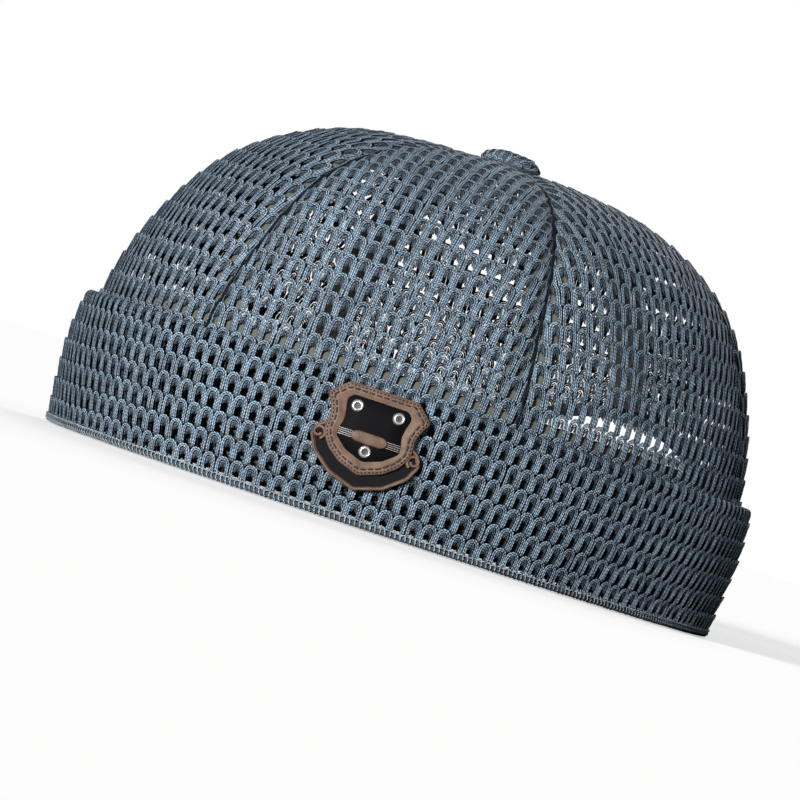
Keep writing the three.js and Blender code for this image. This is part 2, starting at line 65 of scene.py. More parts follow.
backward = Vector((
    math.sin(CAMERA_TURN) * math.cos(CAMERA_RISE),
    -math.cos(CAMERA_TURN) * math.cos(CAMERA_RISE),
    math.sin(CAMERA_RISE),
))
camera = bpy.data.objects.new("camera", bpy.data.cameras.new("camera"))
camera.data.lens = CAMERA_LENS
camera.data.sensor_width = 36.0
camera.data.shift_x, camera.data.shift_y = CAMERA_SHIFT
camera.data.clip_end = 50.0
level = backward.to_track_quat("Z", "Y").to_matrix().to_4x4()
camera.matrix_world = (
    Matrix.Translation(CAMERA_AIM + backward * CAMERA_DISTANCE) @ level @ Matrix.Rotation(CAMERA_LEAN, 4, "Z")
)
scene.collection.objects.link(camera)
scene.camera = camera


def add(tree, kind, feeds=None, **settings):
    """A node of a tree, set up, with each input fed by a value or by another node's output."""
    node = tree.nodes.new(kind)
    for name, value in settings.items():
        setattr(node, name, value)
    for slot, value in (feeds or {}).items():
        if isinstance(value, bpy.types.NodeSocket):
            tree.links.new(value, node.inputs[slot])
        else:
            node.inputs[slot].default_value = value
    return node


def calculate(tree, operation, first, second=0.0):
    """The output of one sum on values or other outputs."""
    return add(tree, "ShaderNodeMath", {0: first, 1: second}, operation=operation).outputs[0]


def mapped(tree, value, given, wanted=(0.0, 1.0), blend="LINEAR"):
    """A value's given range carried over to the wanted one, and held at its ends."""
    feeds = {0: value, 1: given[0], 2: given[1], 3: wanted[0], 4: wanted[1]}
    return add(tree, "ShaderNodeMapRange", feeds, interpolation_type=blend).outputs[0]


def blended(tree, share, first, second):
    """The first colour at a share of 0 and the second at 1."""
    return add(tree, "ShaderNodeMix", {0: share, 6: first, 7: second}, data_type="RGBA").outputs[2]


def finish(name, **surface):
    """A material with one Principled surface, and the node tree to add its details to."""
    material = bpy.data.materials.new(name)
    material.use_nodes = True
    shader = material.node_tree.nodes["Principled BSDF"]
    for slot, value in surface.items():
        shader.inputs[slot.replace("_", " ")].default_value = value
    return material, material.node_tree, shader


def light_sun(name, strength, softness, turn, rise, color=(1.0, 1.0, 1.0)):
    """A far-off light, by its strength, the angle that it fills, and the turn and rise it comes from."""
    sun = bpy.data.objects.new(name, bpy.data.lights.new(name, "SUN"))
    sun.data.energy = strength
    sun.data.angle = math.radians(softness)
    sun.data.color = color
    sun.rotation_euler = (math.radians(90.0 - rise), 0.0, math.radians(turn))
    scene.collection.objects.link(sun)


light_sun("key", 5.2, 12.0, 14.0, 8.0, (1.0, 0.985, 0.96))
light_sun("fill", 0.3, 60.0, 100.0, 25.0, (0.93, 0.97, 1.0))
light_sun("rim", 1.3, 30.0, 205.0, 28.0)

# The ground is white to the camera but lights the cap only a little, as a far-off sheet would
world = bpy.data.worlds.new("studio")
world.use_nodes = True
sky = world.node_tree
seen = add(sky, "ShaderNodeBackground", {"Color": (1.0, 1.0, 1.0, 1.0), "Strength": 1.0})
facing = add(sky, "ShaderNodeTexCoord")
sky_height = add(sky, "ShaderNodeSeparateXYZ", {0: facing.outputs["Generated"]}).outputs["Z"]
sky_strength = mapped(sky, sky_height, (-0.2, 0.9), (0.08, 0.07))
around = add(sky, "ShaderNodeBackground", {"Color": (0.97, 0.98, 1.0, 1.0), "Strength": sky_strength})
sky_ray = add(sky, "ShaderNodeLightPath")
sky_shown = add(sky, "ShaderNodeMixShader", {
    0: sky_ray.outputs["Is Camera Ray"], 1: around.outputs[0], 2: seen.outputs[0],
})
sky.links.new(sky_shown.outputs[0], sky.nodes["World Output"].inputs[0])
scene.world = world
scene.view_settings.view_transform = "Standard"

FLOOR_HALF = 12.0
FLOOR_DROP = 0.2 * MM
floor_mesh = bpy.data.meshes.new("floor")
corners = [(x * FLOOR_HALF, y * FLOOR_HALF, -FLOOR_DROP) for x, y in ((-1, -1), (1, -1), (1, 1), (-1, 1))]
floor_mesh.from_pydata(corners, [], [(0, 1, 2, 3)])
floor = bpy.data.objects.new("floor", floor_mesh)
scene.collection.objects.link(floor)
floor_paint, ground, paint = finish("floor_paint", Roughness=1.0, Specular_IOR_Level=0.0)
floor_ray = add(ground, "ShaderNodeLightPath").outputs["Is Camera Ray"]
tint = blended(ground, floor_ray, (0.22, 0.22, 0.22, 1.0), (0.90, 0.90, 0.90, 1.0))
glow = calculate(ground, "MULTIPLY", floor_ray, 0.5)
ground.links.new(tint, paint.inputs["Base Color"])
ground.links.new(glow, paint.inputs["Emission Strength"])
paint.inputs["Emission Color"].default_value = (1.0, 1.0, 1.0, 1.0)
floor_mesh.materials.append(floor_paint)


# Crown
# Six panels of coarse knit net, cut with their ribs upright and sewn together into a dome. The net
# is one row of arches of doubled yarn on another, and each foot is looped behind the arch below it.

CROWN_WIDTH = 172.0 * MM
CROWN_LENGTH = 200.0 * MM
CROWN_HEIGHT = 104.8 * MM
APEX_SET_BACK = 4.7 * MM
CROWN_FOOT = 2.5 * MM
APEX_HOLE = 3.0 * MM
BACK_SEAM = 180.0
PANEL_SEAMS = (0.0, 56.0, 118.0, BACK_SEAM, 242.0, 304.0, 360.0)
CROWN_OUTLINE = (
    (1.0, 0.0),
    (1.018, 0.273),
    (0.954, 0.551),
    (0.796, 0.796),
    (0.545, 0.944),
    (0.267, 0.993),
    (0.0, 1.0),
)

button_low, button_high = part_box("top_button")
CAP_MIDDLE = Vector((
    (button_low[0] + button_high[0]) / 2,
    (button_low[1] + button_high[1]) / 2 - APEX_SET_BACK,
    0.0,
))


def outline_at(climb):
    """Radius and height shares at a climb from 0 at the rim to 1 at the apex."""
    rows = np.array(CROWN_OUTLINE)
    rows = np.vstack([2 * rows[0] - rows[1], rows, [-rows[-2][0], rows[-2][1]]])
    spans = len(CROWN_OUTLINE) - 1
    place = np.clip(np.asarray(climb, float), 0.0, 1.0) * spans
    span = np.minimum(place.astype(int), spans - 1)
    t = (place - span)[..., None]
    before, start, end, after = (rows[span + step] for step in range(4))
    lead, trail = (end - before) / 2, (after - start) / 2
    point = (
        (2 * start - 2 * end + lead + trail) * t**3
        + (-3 * start + 3 * end - 2 * lead - trail) * t**2
        + lead * t
        + start
    )
    return point[..., 0], point[..., 1]


CLIMBS = np.linspace(0.0, 1.0, 2001)
RADII, HEIGHTS = outline_at(CLIMBS)


def climb_at(height):
    """The climb at which the crown's skin reaches a height."""
    return np.interp(height, HEIGHTS[:-20] * CROWN_HEIGHT, CLIMBS[:-20])


def climb_inside(radius):
    """The climb at which the crown has closed to a radius."""
    return CLIMBS[np.argmax(RADII * CROWN_WIDTH / 2 < radius)]


def crown_skin(turn, climb):
    """A point of the crown's outer skin, by degrees round from the front and by climb."""
    radius, height = outline_at(climb)
    angle = np.radians(turn)
    return np.stack(
        np.broadcast_arrays(
            CAP_MIDDLE.x + CROWN_WIDTH / 2 * radius * np.sin(angle),
            CAP_MIDDLE.y - CROWN_LENGTH / 2 * radius * np.cos(angle) + APEX_SET_BACK * height**2,
            CROWN_HEIGHT * height,
        ),
        axis=-1,
    )


def unit(vectors):
    """Vectors brought to a length of one."""
    return vectors / np.maximum(np.linalg.norm(vectors, axis=-1, keepdims=True), 1e-12)


def crown_outward(turn, climb):
    """The way straight out of the crown's skin at a turn and a climb."""
    climb = np.clip(climb, 0.0, 0.99)
    across = crown_skin(turn + 0.5, climb) - crown_skin(turn - 0.5, climb)
    upward = crown_skin(turn, climb + 0.004) - crown_skin(turn, climb - 0.004)
    return unit(np.cross(across, upward))


def degree_round(turn, climb):
    """The length of one degree round the crown at a turn and a climb."""
    return np.linalg.norm(crown_skin(turn + 0.5, climb) - crown_skin(turn - 0.5, climb), axis=-1)


def wall_point(turn, height, out):
    """A point of the wall near the rim, offset level, as the cuff, band and webbing follow it."""
    turn, height, out = np.broadcast_arrays(turn, height, out)
    angle = np.radians(turn)
    outward = [CROWN_LENGTH * np.sin(angle), -CROWN_WIDTH * np.cos(angle), np.zeros(turn.shape)]
    point = crown_skin(turn, climb_at(height))
    point[..., 2] = height
    return point + unit(np.stack(outward, axis=-1)) * out[..., None]


def distance_along(points):
    """How far along a line of points each of them lies."""
    steps = np.linalg.norm(np.diff(points, axis=0), axis=-1)
    return np.concatenate([[0.0], np.cumsum(steps)])


# Each seam is drawn in, in a narrow groove and a wide soft one
SEAM_GROOVE = ((1.5 * MM, 2.2 * MM), (0.8 * MM, 8.0 * MM))
GROOVE_FOOT = 40.0 * MM
GROOVE_FULL = 62.0 * MM


def seam_dip(from_seam, height, radius):
    """How deep the skin is drawn in beside a seam, at a height and a share of the crown's radius."""
    above = np.clip((height - GROOVE_FOOT) / (GROOVE_FULL - GROOVE_FOOT), 0.0, 1.0)
    off_apex = np.clip((radius - 0.06) / 0.16, 0.0, 1.0)
    depth = sum(deep * np.exp(-((from_seam / wide) ** 2)) for deep, wide in SEAM_GROOVE)
    return depth * above * off_apex


ARCH_HALF_WIDTH = 42.0 * MM
ARCH_SPRING = 22.0 * MM
ARCH_TOP = 52.0 * MM


def arch_clearance(points):
    """How far, as a share of the arch's size, points lie outside the arch at the back."""
    across = (points[..., 0] - CAP_MIDDLE.x) / ARCH_HALF_WIDTH
    upward = np.maximum(points[..., 2] - ARCH_SPRING, 0.0) / (ARCH_TOP - ARCH_SPRING)
    return np.where(points[..., 1] < CAP_MIDDLE.y, 1.0, np.hypot(across, upward) - 1.0)


def guide_surface(name, points, outward, across, along, edges):
    """A sheet that a knit is laid over, with the knit's flat pattern as its map.

    Its edges are the left and right end of each row of the pattern, and how far it is outside the arch.
    """
    rows, columns = points.shape[:2]

    def spread(fields):
        """Values of one point or more, given to every point of the sheet."""
        return np.stack([np.broadcast_to(field, (rows, columns)) for field in fields], -1)

    mesh = bpy.data.meshes.new(name)
    index = np.arange(rows * columns).reshape(rows, columns)
    faces = np.stack([index[:-1, :-1], index[:-1, 1:], index[1:, 1:], index[1:, :-1]], -1).reshape(-1, 4)
    mesh.from_pydata(points.reshape(-1, 3).tolist(), [], faces.tolist())
    pattern = mesh.uv_layers.new(name="pattern")
    flat = spread((across, along)).reshape(-1, 2)
    pattern.data.foreach_set("uv", flat[faces.ravel()].ravel())
    for label, values in (("outward", outward), ("edges", spread(edges))):
        attribute = mesh.attributes.new(label, "FLOAT_VECTOR", "POINT")
        attribute.data.foreach_set("vector", values.reshape(-1, 3).ravel())
    guide = bpy.data.objects.new(name, mesh)
    scene.collection.objects.link(guide)
    return guide


def panel_guide(name, start, end, columns=29, rows=90):
    """The sheet of one panel, between its seams and from the rim to the hole at the apex."""
    climbs = np.linspace(climb_at(CROWN_FOOT), climb_inside(APEX_HOLE), rows)[:, None]
    turns = np.linspace(start, end, columns)[None, :]
    skin = crown_skin(turns, climbs)
    outward = crown_outward(turns, climbs)
    middle = columns // 2
    walked = np.stack([distance_along(row) for row in skin])
    across = walked - walked[:, middle][:, None]
    along = distance_along(skin[:, middle])[:, None]
    from_seam = np.minimum(walked, walked[:, -1:] - walked)
    radius, height = outline_at(climbs)
    dip = seam_dip(from_seam, height * CROWN_HEIGHT, radius)
    edges = (across[:, :1], across[:, -1:], arch_clearance(skin))
    return guide_surface(name, skin - outward * dip[..., None], outward, across, along, edges)


# One arch of the net. Two strands run side by side up one leg, over and down the other, and their
# feet pass behind the arch below. A third makes a shorter arch inside them.
ARCH_ACROSS = 4.1 * MM
ARCH_ALONG = 6.0 * MM
LONG_ARCH = (
    (-1.00, -0.62, -1.05),
    (-0.98, -0.42, -0.85),
    (-1.00, -0.10, -0.62),
    (-1.00, 0.35, -0.52),
    (-0.80, 0.74, -0.40),
    (-0.32, 0.97, -0.30),
    (0.32, 0.97, -0.30),
    (0.80, 0.74, -0.40),
    (1.00, 0.35, -0.52),
    (1.00, -0.10, -0.62),
    (0.98, -0.42, -0.85),
    (1.00, -0.62, -1.05),
)
SHORT_ARCH = (
    (-1.20, -0.30, -1.15),
    (-1.00, 0.15, -0.85),
    (-0.72, 0.72, -0.58),
    (0.00, 1.00, -0.48),
    (0.72, 0.72, -0.58),
    (1.00, 0.15, -0.85),
    (1.20, -0.30, -1.15),
)
ARCH_STRANDS = (
    (LONG_ARCH, 1.78, 2.84, 5.90, 0.64, 3),
    (LONG_ARCH, 1.24, 2.26, 5.50, 0.60, 3),
    (SHORT_ARCH, 0.76, 1.66, 3.00, 0.52, 3),
    (SHORT_ARCH, 0.34, 1.08, 1.50, 0.44, 3),
)

# How much painted shade each strand gets, from the outermost in, as it lies in the shade of the others
PAINTED_SHADE_SHARES = (0.0, 0.25, 0.75, 1.0)
PLAIN_STRANDS = (
    (LONG_ARCH, 1.56, 2.55, 5.70, 1.05, 3),
)


def strand(builder, path, thickness, sides, lap):
    """Adds a closed tube of yarn along a path to a mesh, mapped by length and by girth, 0 in front."""
    travel = unit(np.gradient(path, axis=0))
    side = unit(np.cross(travel, (0.0, 0.0, 1.0)))
    front = np.cross(side, travel)
    length = distance_along(path)
    layer = builder.loops.layers.uv.get("UVMap") or builder.loops.layers.uv.new("UVMap")
    angles = [math.pi * (0.5 + (2 * k - 1) / sides) for k in range(sides)]
    rings = [
        [builder.verts.new(point + thickness / 2 * (math.cos(a) * right + math.sin(a) * up)) for a in angles]
        for point, right, up in zip(path, side, front)
    ]
    for row, (ring, next_ring) in enumerate(zip(rings, rings[1:])):
        for k in range(sides):
            after = (k + 1) % sides
            face = builder.faces.new((ring[k], ring[after], next_ring[after], next_ring[k]))
            face.smooth = True
            girth = ((k - 0.5) / sides, (k + 0.5) / sides)
            corners = ((0, row), (1, row), (1, row + 1), (0, row + 1))
            for loop, (u, v) in zip(face.loops, corners):
                loop[layer].uv = (length[v] / MM + lap, girth[u])
    builder.faces.new(rings[0][::-1])
    builder.faces.new(rings[-1])


def built(name, builder):
    """An object from a mesh that was built up, with its faces turned outwards."""
    bmesh.ops.recalc_face_normals(builder, faces=builder.faces)
    mesh = bpy.data.meshes.new(name)
    builder.to_mesh(mesh)
    builder.free()
    return bpy.data.objects.new(name, mesh)


def arch_of_yarn(name, along, strands):
    """An arch from rows of a path's shares, its half width, top, leg reach, thickness and sides, in mm."""
    stretch = along / ARCH_ALONG
    builder = bmesh.new()
    # The face layer sunk holds each strand's share of painted shade
    sunk = builder.faces.layers.float.new("sunk")
    for lap, (shares, half_width, top, reach, thickness, sides) in enumerate(strands):
        shares = np.array(shares)
        upward = np.where(shares[:, 1] > 0.0, shares[:, 1] * top, shares[:, 1] * reach)
        path = np.stack([shares[:, 0] * half_width, upward * stretch, shares[:, 2]], -1) * MM
        made = len(builder.faces)
        strand(builder, path, thickness * MM, sides, 0.37 * lap)
        builder.faces.ensure_lookup_table()
        for face in builder.faces[made:]:
            face[sunk] = PAINTED_SHADE_SHARES[lap]
    return built(name, builder)


# The yarn's plies come round once in this many mm
PLY_TURN = 0.9


def mottle(tree, scale, detail):
    """A cloudy noise that stays in its place on the piece."""
    place = add(tree, "ShaderNodeTexCoord").outputs["Object"]
    return add(tree, "ShaderNodeTexNoise", {"Vector": place, "Scale": scale, "Detail": detail}).outputs["Fac"]


def color_surface(tree, shader, color):
    """Gives a surface a colour that changes over it."""
    tree.links.new(color, shader.inputs["Base Color"])


def grain_surface(tree, shader, relief, strength, depth):
    """Gives a surface a fine relief, too shallow to be modelled."""
    bump = add(tree, "ShaderNodeBump", {"Height": relief, "Strength": strength, "Distance": depth})
    tree.links.new(bump.outputs[0], shader.inputs["Normal"])


def yarn_finish(name, lit, shaded):
    """Twisted matt yarn, blended from a lit colour to a painted shade colour: painted shade on each strand's
    sides and back, in the grooves between its fine slanting plies and on the inner strands of each arch by
    their share, with a random speck and a drift of colour over the net.
    """
    material, tree, shader = finish(name, Roughness=0.7, Specular_IOR_Level=0.2)
    strand_map = add(tree, "ShaderNodeUVMap", uv_map="UVMap")
    axes = add(tree, "ShaderNodeSeparateXYZ", {0: strand_map.outputs[0]})
    # The plies: painted shade in the grooves between them, and the same waves give the bump
    slant = calculate(tree, "MULTIPLY", axes.outputs["Y"], PLY_TURN)
    twist = calculate(tree, "ADD", axes.outputs["X"], slant)
    wave = calculate(tree, "SINE", calculate(tree, "MULTIPLY", twist, 2 * math.pi / PLY_TURN))
    ply = mapped(tree, wave, (-0.9, 0.5), (0.38, 1.0), "SMOOTHSTEP")
    # Painted shade: only the front of each strand takes the lit colour, and its sides and back take the shade
    # colour
    front = calculate(tree, "COSINE", calculate(tree, "MULTIPLY", axes.outputs["Y"], 2 * math.pi))
    lit_front_share = mapped(tree, front, (0.58, 0.94), (0.0, 1.0), "SMOOTHSTEP")
    speck = mapped(tree, mottle(tree, 620.0, 3.0), (0.34, 0.66), (0.45, 1.0))
    # Painted shade on the inner strands of each arch, by their share
    sunk = add(tree, "ShaderNodeAttribute", attribute_name="sunk").outputs["Fac"]
    painted_inner_shade = mapped(tree, sunk, (0.0, 1.0), (1.0, 0.22))
    light = calculate(tree, "MULTIPLY", calculate(tree, "MULTIPLY", ply, speck), lit_front_share)
    color = blended(tree, calculate(tree, "MULTIPLY", light, painted_inner_shade), shaded, lit)
    tone = mapped(tree, mottle(tree, 38.0, 2.0), (0.3, 0.7), (0.86, 1.1))
    toned = add(tree, "ShaderNodeHueSaturation", {"Value": tone, "Color": color})
    color_surface(tree, shader, toned.outputs[0])
    grain_surface(tree, shader, ply, 1.0, 0.2 * MM)
    return material


# The net's yarn, as a lit colour and a painted shade colour
NET_YARN = yarn_finish("net_yarn", (0.455, 0.620, 0.785, 1.0), (0.018, 0.026, 0.036, 1.0))
# A darker copy of the net's yarn, painted shade for the net hidden under and inside the cuff
SHADED_INNER_YARN = yarn_finish("inner_yarn", (0.105, 0.140, 0.175, 1.0), (0.022, 0.031, 0.040, 1.0))


def net_tree():
    """Geometry nodes that knit a guide over: arches on a flat grid, carried over to the guide."""
    tree = bpy.data.node_groups.new("knit_over_guide", "GeometryNodeTree")
    sockets = tree.interface
    sockets.new_socket("Guide", in_out="INPUT", socket_type="NodeSocketGeometry")
    inputs = {}
    for label, kind in (
        ("Arch", "Object"), ("Plain Arch", "Object"), ("Plain Below", "Float"), ("Columns", "Int"),
        ("Rows", "Int"), ("Across", "Float"), ("Along", "Float"), ("First Row", "Float"),
        ("Unevenness", "Float"), ("Seam Squeeze", "Float"), ("Seed", "Int"), ("Yarn", "Material"),
        ("Plain Yarn", "Material"),
    ):
        item = sockets.new_socket(label, in_out="INPUT", socket_type=f"NodeSocket{kind}")
        inputs[label] = item.identifier
    sockets.new_socket("Net", in_out="OUTPUT", socket_type="NodeSocketGeometry")
    given = add(tree, "NodeGroupInput").outputs

    def maths(operation, first, second=0.0):
        """One sum in this tree."""
        return calculate(tree, operation, first, second)

    def attribute(label):
        """A named field of the guide."""
        named = add(tree, "GeometryNodeInputNamedAttribute", {"Name": label}, data_type="FLOAT_VECTOR")
        return named.outputs[0]

    def place():
        """Where each point is when this is read."""
        return add(tree, "GeometryNodeInputPosition").outputs[0]

    def sampled(field, spot):
        """A field of the guide at a spot of its flat pattern, and whether the pattern reaches there."""
        return add(
            tree, "GeometryNodeSampleUVSurface",
            {"Mesh": given["Guide"], "Value": field, "UV Map": attribute("pattern"), "Sample UV": spot},
            data_type="FLOAT_VECTOR",
        ).outputs

    # A flat grid of places, those off the pattern left out
    wide = maths("MULTIPLY", maths("SUBTRACT", given["Columns"], 1.0), given["Across"])
    long = maths("MULTIPLY", maths("SUBTRACT", given["Rows"], 1.0), given["Along"])
    grid = add(tree, "GeometryNodeMeshGrid", {
        "Size X": wide, "Size Y": long, "Vertices X": given["Columns"], "Vertices Y": given["Rows"],
    })
    lift = maths("ADD", maths("DIVIDE", long, 2.0), given["First Row"])
    lifted = add(tree, "ShaderNodeCombineXYZ", {"Y": lift})
    places = add(tree, "GeometryNodeTransform", {0: grid.outputs["Mesh"], "Translation": lifted.outputs[0]})
    flat_spot = add(tree, "ShaderNodeSeparateXYZ", {0: place()})
    slack = maths("MULTIPLY", given["Across"], 0.42)
    inward = maths("MAXIMUM", maths("SUBTRACT", maths("ABSOLUTE", flat_spot.outputs["X"]), slack), 0.0)
    spot = add(tree, "ShaderNodeCombineXYZ", {
        "X": maths("MULTIPLY", maths("SIGN", flat_spot.outputs["X"]), inward), "Y": flat_spot.outputs["Y"],
    }).outputs[0]
    inside = sampled(attribute("outward"), spot)["Is Valid"]
    outside = add(tree, "FunctionNodeBooleanMath", {0: inside}, operation="NOT")
    kept = add(tree, "GeometryNodeDeleteGeometry", {0: places.outputs[0], 1: outside.outputs[0]})
    points = add(tree, "GeometryNodeMeshToPoints", {0: kept.outputs[0]})

    # The arches, a little uneven, laid on the grid
    least, most = [
        add(tree, "ShaderNodeVectorMath", {0: given["Unevenness"], 1: way}, operation="MULTIPLY")
        for way in ((-1.0, -1.0, -0.6), (1.0, 1.0, 0.6))
    ]
    wander = add(tree, "FunctionNodeRandomValue", {
        "Min": least.outputs[0], "Max": most.outputs[0], "Seed": given["Seed"],
    }, data_type="FLOAT_VECTOR")
    moved = add(tree, "GeometryNodeSetPosition", {0: points.outputs[0], "Offset": wander.outputs[0]})
    tilt = add(tree, "FunctionNodeRandomValue", {
        "Min": (0.0, -0.05, -0.05), "Max": (0.0, 0.05, 0.05), "Seed": maths("ADD", given["Seed"], 7.0),
    }, data_type="FLOAT_VECTOR")
    girth = add(tree, "FunctionNodeRandomValue", {
        "Min": (0.94, 0.97, 0.9), "Max": (1.05, 1.03, 1.15), "Seed": maths("ADD", given["Seed"], 13.0),
    }, data_type="FLOAT_VECTOR")
    level = add(tree, "ShaderNodeSeparateXYZ", {0: place()})
    # Arches below the plain row are plain, in the darker yarn of painted shade
    hidden = add(tree, "FunctionNodeCompare", {0: level.outputs["Y"], 1: given["Plain Below"]},
                 data_type="FLOAT", operation="LESS_THAN").outputs[0]
    shown = add(tree, "FunctionNodeBooleanMath", {0: hidden}, operation="NOT").outputs[0]
    both = add(tree, "GeometryNodeJoinGeometry")
    for label, yarn, chosen in (("Arch", "Yarn", shown), ("Plain Arch", "Plain Yarn", hidden)):
        arch = add(tree, "GeometryNodeObjectInfo", {"Object": given[label]})
        laid = add(tree, "GeometryNodeInstanceOnPoints", {
            "Points": moved.outputs[0], "Selection": chosen, "Instance": arch.outputs["Geometry"],
            "Rotation": tilt.outputs[0], "Scale": girth.outputs[0],
        })
        single = add(tree, "GeometryNodeRealizeInstances", {0: laid.outputs[0]})
        dyed = add(tree, "GeometryNodeSetMaterial", {0: single.outputs[0], "Material": given[yarn]})
        tree.links.new(dyed.outputs[0], both.inputs[0])
    flat = add(tree, "GeometryNodeRealizeInstances", {0: both.outputs[0]})

    # Past a seam's edge the yarn is squeezed up against the seam
    here = add(tree, "ShaderNodeSeparateXYZ", {0: place()})
    middle_spot = add(tree, "ShaderNodeCombineXYZ", {"Y": here.outputs["Y"]}).outputs[0]
    edges = add(tree, "ShaderNodeSeparateXYZ", {0: sampled(attribute("edges"), middle_spot)["Value"]})
    on_right = add(tree, "FunctionNodeCompare", {0: here.outputs["X"], 1: 0.0}, data_type="FLOAT")
    edge = add(tree, "GeometryNodeSwitch", {
        0: on_right.outputs[0], 1: edges.outputs["X"], 2: edges.outputs["Y"],
    }, input_type="FLOAT").outputs[0]
    free = maths("MAXIMUM", maths("SUBTRACT", maths("ABSOLUTE", edge), given["Seam Squeeze"]), 0.0)
    reach = maths("ABSOLUTE", here.outputs["X"])
    over = maths("MAXIMUM", maths("SUBTRACT", reach, free), 0.0)
    soft = maths("EXPONENT", maths("DIVIDE", maths("MULTIPLY", over, -1.0), given["Seam Squeeze"]))
    pressed = maths("MULTIPLY", maths("SUBTRACT", 1.0, soft), maths("MULTIPLY", given["Seam Squeeze"], 0.75))
    side = maths("SIGN", here.outputs["X"])
    across = maths("MULTIPLY", side, maths("ADD", maths("MINIMUM", reach, free), pressed))
    spot = add(tree, "ShaderNodeCombineXYZ", {"X": across, "Y": here.outputs["Y"]}).outputs[0]
    skin = sampled(place(), spot)
    way = sampled(attribute("outward"), spot)["Value"]
    outward = add(tree, "ShaderNodeVectorMath", {0: way}, operation="NORMALIZE").outputs[0]
    stand = add(tree, "ShaderNodeVectorMath", {0: outward, "Scale": here.outputs["Z"]}, operation="SCALE")
    carried = add(tree, "ShaderNodeVectorMath", {0: skin["Value"], 1: stand.outputs[0]}, operation="ADD")
    clear = add(tree, "ShaderNodeSeparateXYZ", {0: sampled(attribute("edges"), spot)["Value"]}).outputs["Z"]
    in_arch = add(tree, "FunctionNodeCompare", {0: clear, 1: 0.0}, data_type="FLOAT", operation="LESS_THAN")
    off_guide = add(tree, "FunctionNodeBooleanMath", {0: skin["Is Valid"]}, operation="NOT")
    cut_off = add(tree, "FunctionNodeBooleanMath", {
        0: in_arch.outputs[0], 1: off_guide.outputs[0],
    }, operation="OR")
    placed = add(tree, "GeometryNodeCaptureAttribute", {0: flat.outputs[0]})
    placed.capture_items.new("BOOLEAN", "cut off")
    tree.links.new(cut_off.outputs[0], placed.inputs[1])
    worn = add(tree, "GeometryNodeSetPosition", {0: placed.outputs[0], "Position": carried.outputs[0]})
    trimmed = add(tree, "GeometryNodeDeleteGeometry", {0: worn.outputs[0], 1: placed.outputs[1]})
    result = add(tree, "NodeGroupOutput")
    tree.links.new(trimmed.outputs[0], result.inputs[0])
    return tree, inputs


NET_TREE, NET_INPUTS = net_tree()


def flat_pattern(guide):
    """The width and length of cloth that a guide's flat pattern is cut from, and the pattern's area."""
    corners = np.empty(len(guide.data.loops) * 2)
    guide.data.uv_layers["pattern"].data.foreach_get("uv", corners)
    corners = corners.reshape(-1, 4, 2)
    across, along = corners[:, 2] - corners[:, 0], corners[:, 3] - corners[:, 1]
    area = np.abs(across[:, 0] * along[:, 1] - across[:, 1] * along[:, 0]).sum() / 2
    width, length = np.ptp(corners.reshape(-1, 2), axis=0)
    return (float(width), float(length)), float(area)


def knit(guide, **values):
    """Knits a guide over and leaves the net as the guide object's own plain mesh, its cut ends closed."""
    modifier = guide.modifiers.new("knit", "NODES")
    modifier.node_group = NET_TREE
    for label, value in values.items():
        modifier[NET_INPUTS[label.replace("_", " ")]] = value
    evaluated = guide.evaluated_get(bpy.context.evaluated_depsgraph_get())
    mesh = bpy.data.meshes.new_from_object(evaluated)
    guide.modifiers.remove(modifier)
    builder = bmesh.new()
    builder.from_mesh(mesh)
    bmesh.ops.delete(builder, geom=[edge for edge in builder.edges if not edge.link_faces], context="EDGES")
    bmesh.ops.delete(builder, geom=[vert for vert in builder.verts if not vert.link_faces], context="VERTS")
    open_edges = [edge for edge in builder.edges if len(edge.link_faces) == 1]
    bmesh.ops.holes_fill(builder, edges=open_edges, sides=12)
    builder.to_mesh(mesh)
    builder.free()
    mesh.name = guide.name
    guide.data = mesh
    return guide


crown_arch = arch_of_yarn("crown_arch", ARCH_ALONG, ARCH_STRANDS)
plain_arch = arch_of_yarn("plain_arch", ARCH_ALONG, PLAIN_STRANDS)

# Under the cuff, where it hardly shows, the crown's net is one plain yarn, in a darker copy of the yarn that
# is painted shade
UNDER_CUFF = 30.0 * MM

for panel in range(6):
    guide = panel_guide(f"net_panel_{panel + 1}", PANEL_SEAMS[panel], PANEL_SEAMS[panel + 1])
    at_back = BACK_SEAM in PANEL_SEAMS[panel:panel + 2]
    cut_size, cut_area = flat_pattern(guide)
    net = knit(
        guide, Arch=crown_arch, Plain_Arch=plain_arch, Plain_Below=0.0 if at_back else UNDER_CUFF,
        Columns=27, Rows=28, Across=ARCH_ACROSS, Along=ARCH_ALONG, First_Row=2.8 * MM,
        Unevenness=0.14 * MM, Seam_Squeeze=1.2 * MM, Seed=panel + 1, Yarn=NET_YARN, Plain_Yarn=SHADED_INNER_YARN,
    )
    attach(net, "root")
    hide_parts(f"crown_panel_{panel + 1}")


# Cuff
# The net of the crown is folded double and turned up over the rim, so that it stands as a wide cuff.
# Seven rows of arches show on it, and the last row makes its folded upper edge.

CUFF_END = 132.0
CUFF_OUTER = 3.4 * MM
CUFF_INNER = 0.6 * MM
CUFF_HEIGHT = 37.0 * MM
CUFF_FOOT = 0.9 * MM
CUFF_ALONG = 5.3 * MM


def ring_turns(centre, height, out):
    """Turns along a level ring of the wall, and the arc from a turn in the middle to each."""
    turns = np.linspace(centre - 178.0, centre + 178.0, 7121)
    arcs = distance_along(wall_point(turns, height, out))
    return turns, arcs - arcs[len(arcs) // 2]


def cuff_guide(name, profile, columns=241):
    """A strip of the cuff over a profile of offsets and heights, with its pattern level round the cap."""
    turns, arcs = ring_turns(0.0, CUFF_HEIGHT / 2, CUFF_OUTER)
    end = np.interp(CUFF_END, turns, arcs)
    across = np.linspace(-end, end, columns)[None, :]
    turn = np.interp(across, arcs, turns)
    profile = np.array(profile)
    points = wall_point(turn, profile[:, 1:], profile[:, :1])
    outward = unit(np.cross(np.gradient(points, axis=1), np.gradient(points, axis=0)))
    return guide_surface(name, points, outward, across, distance_along(profile)[:, None], (-end, end, 1.0))


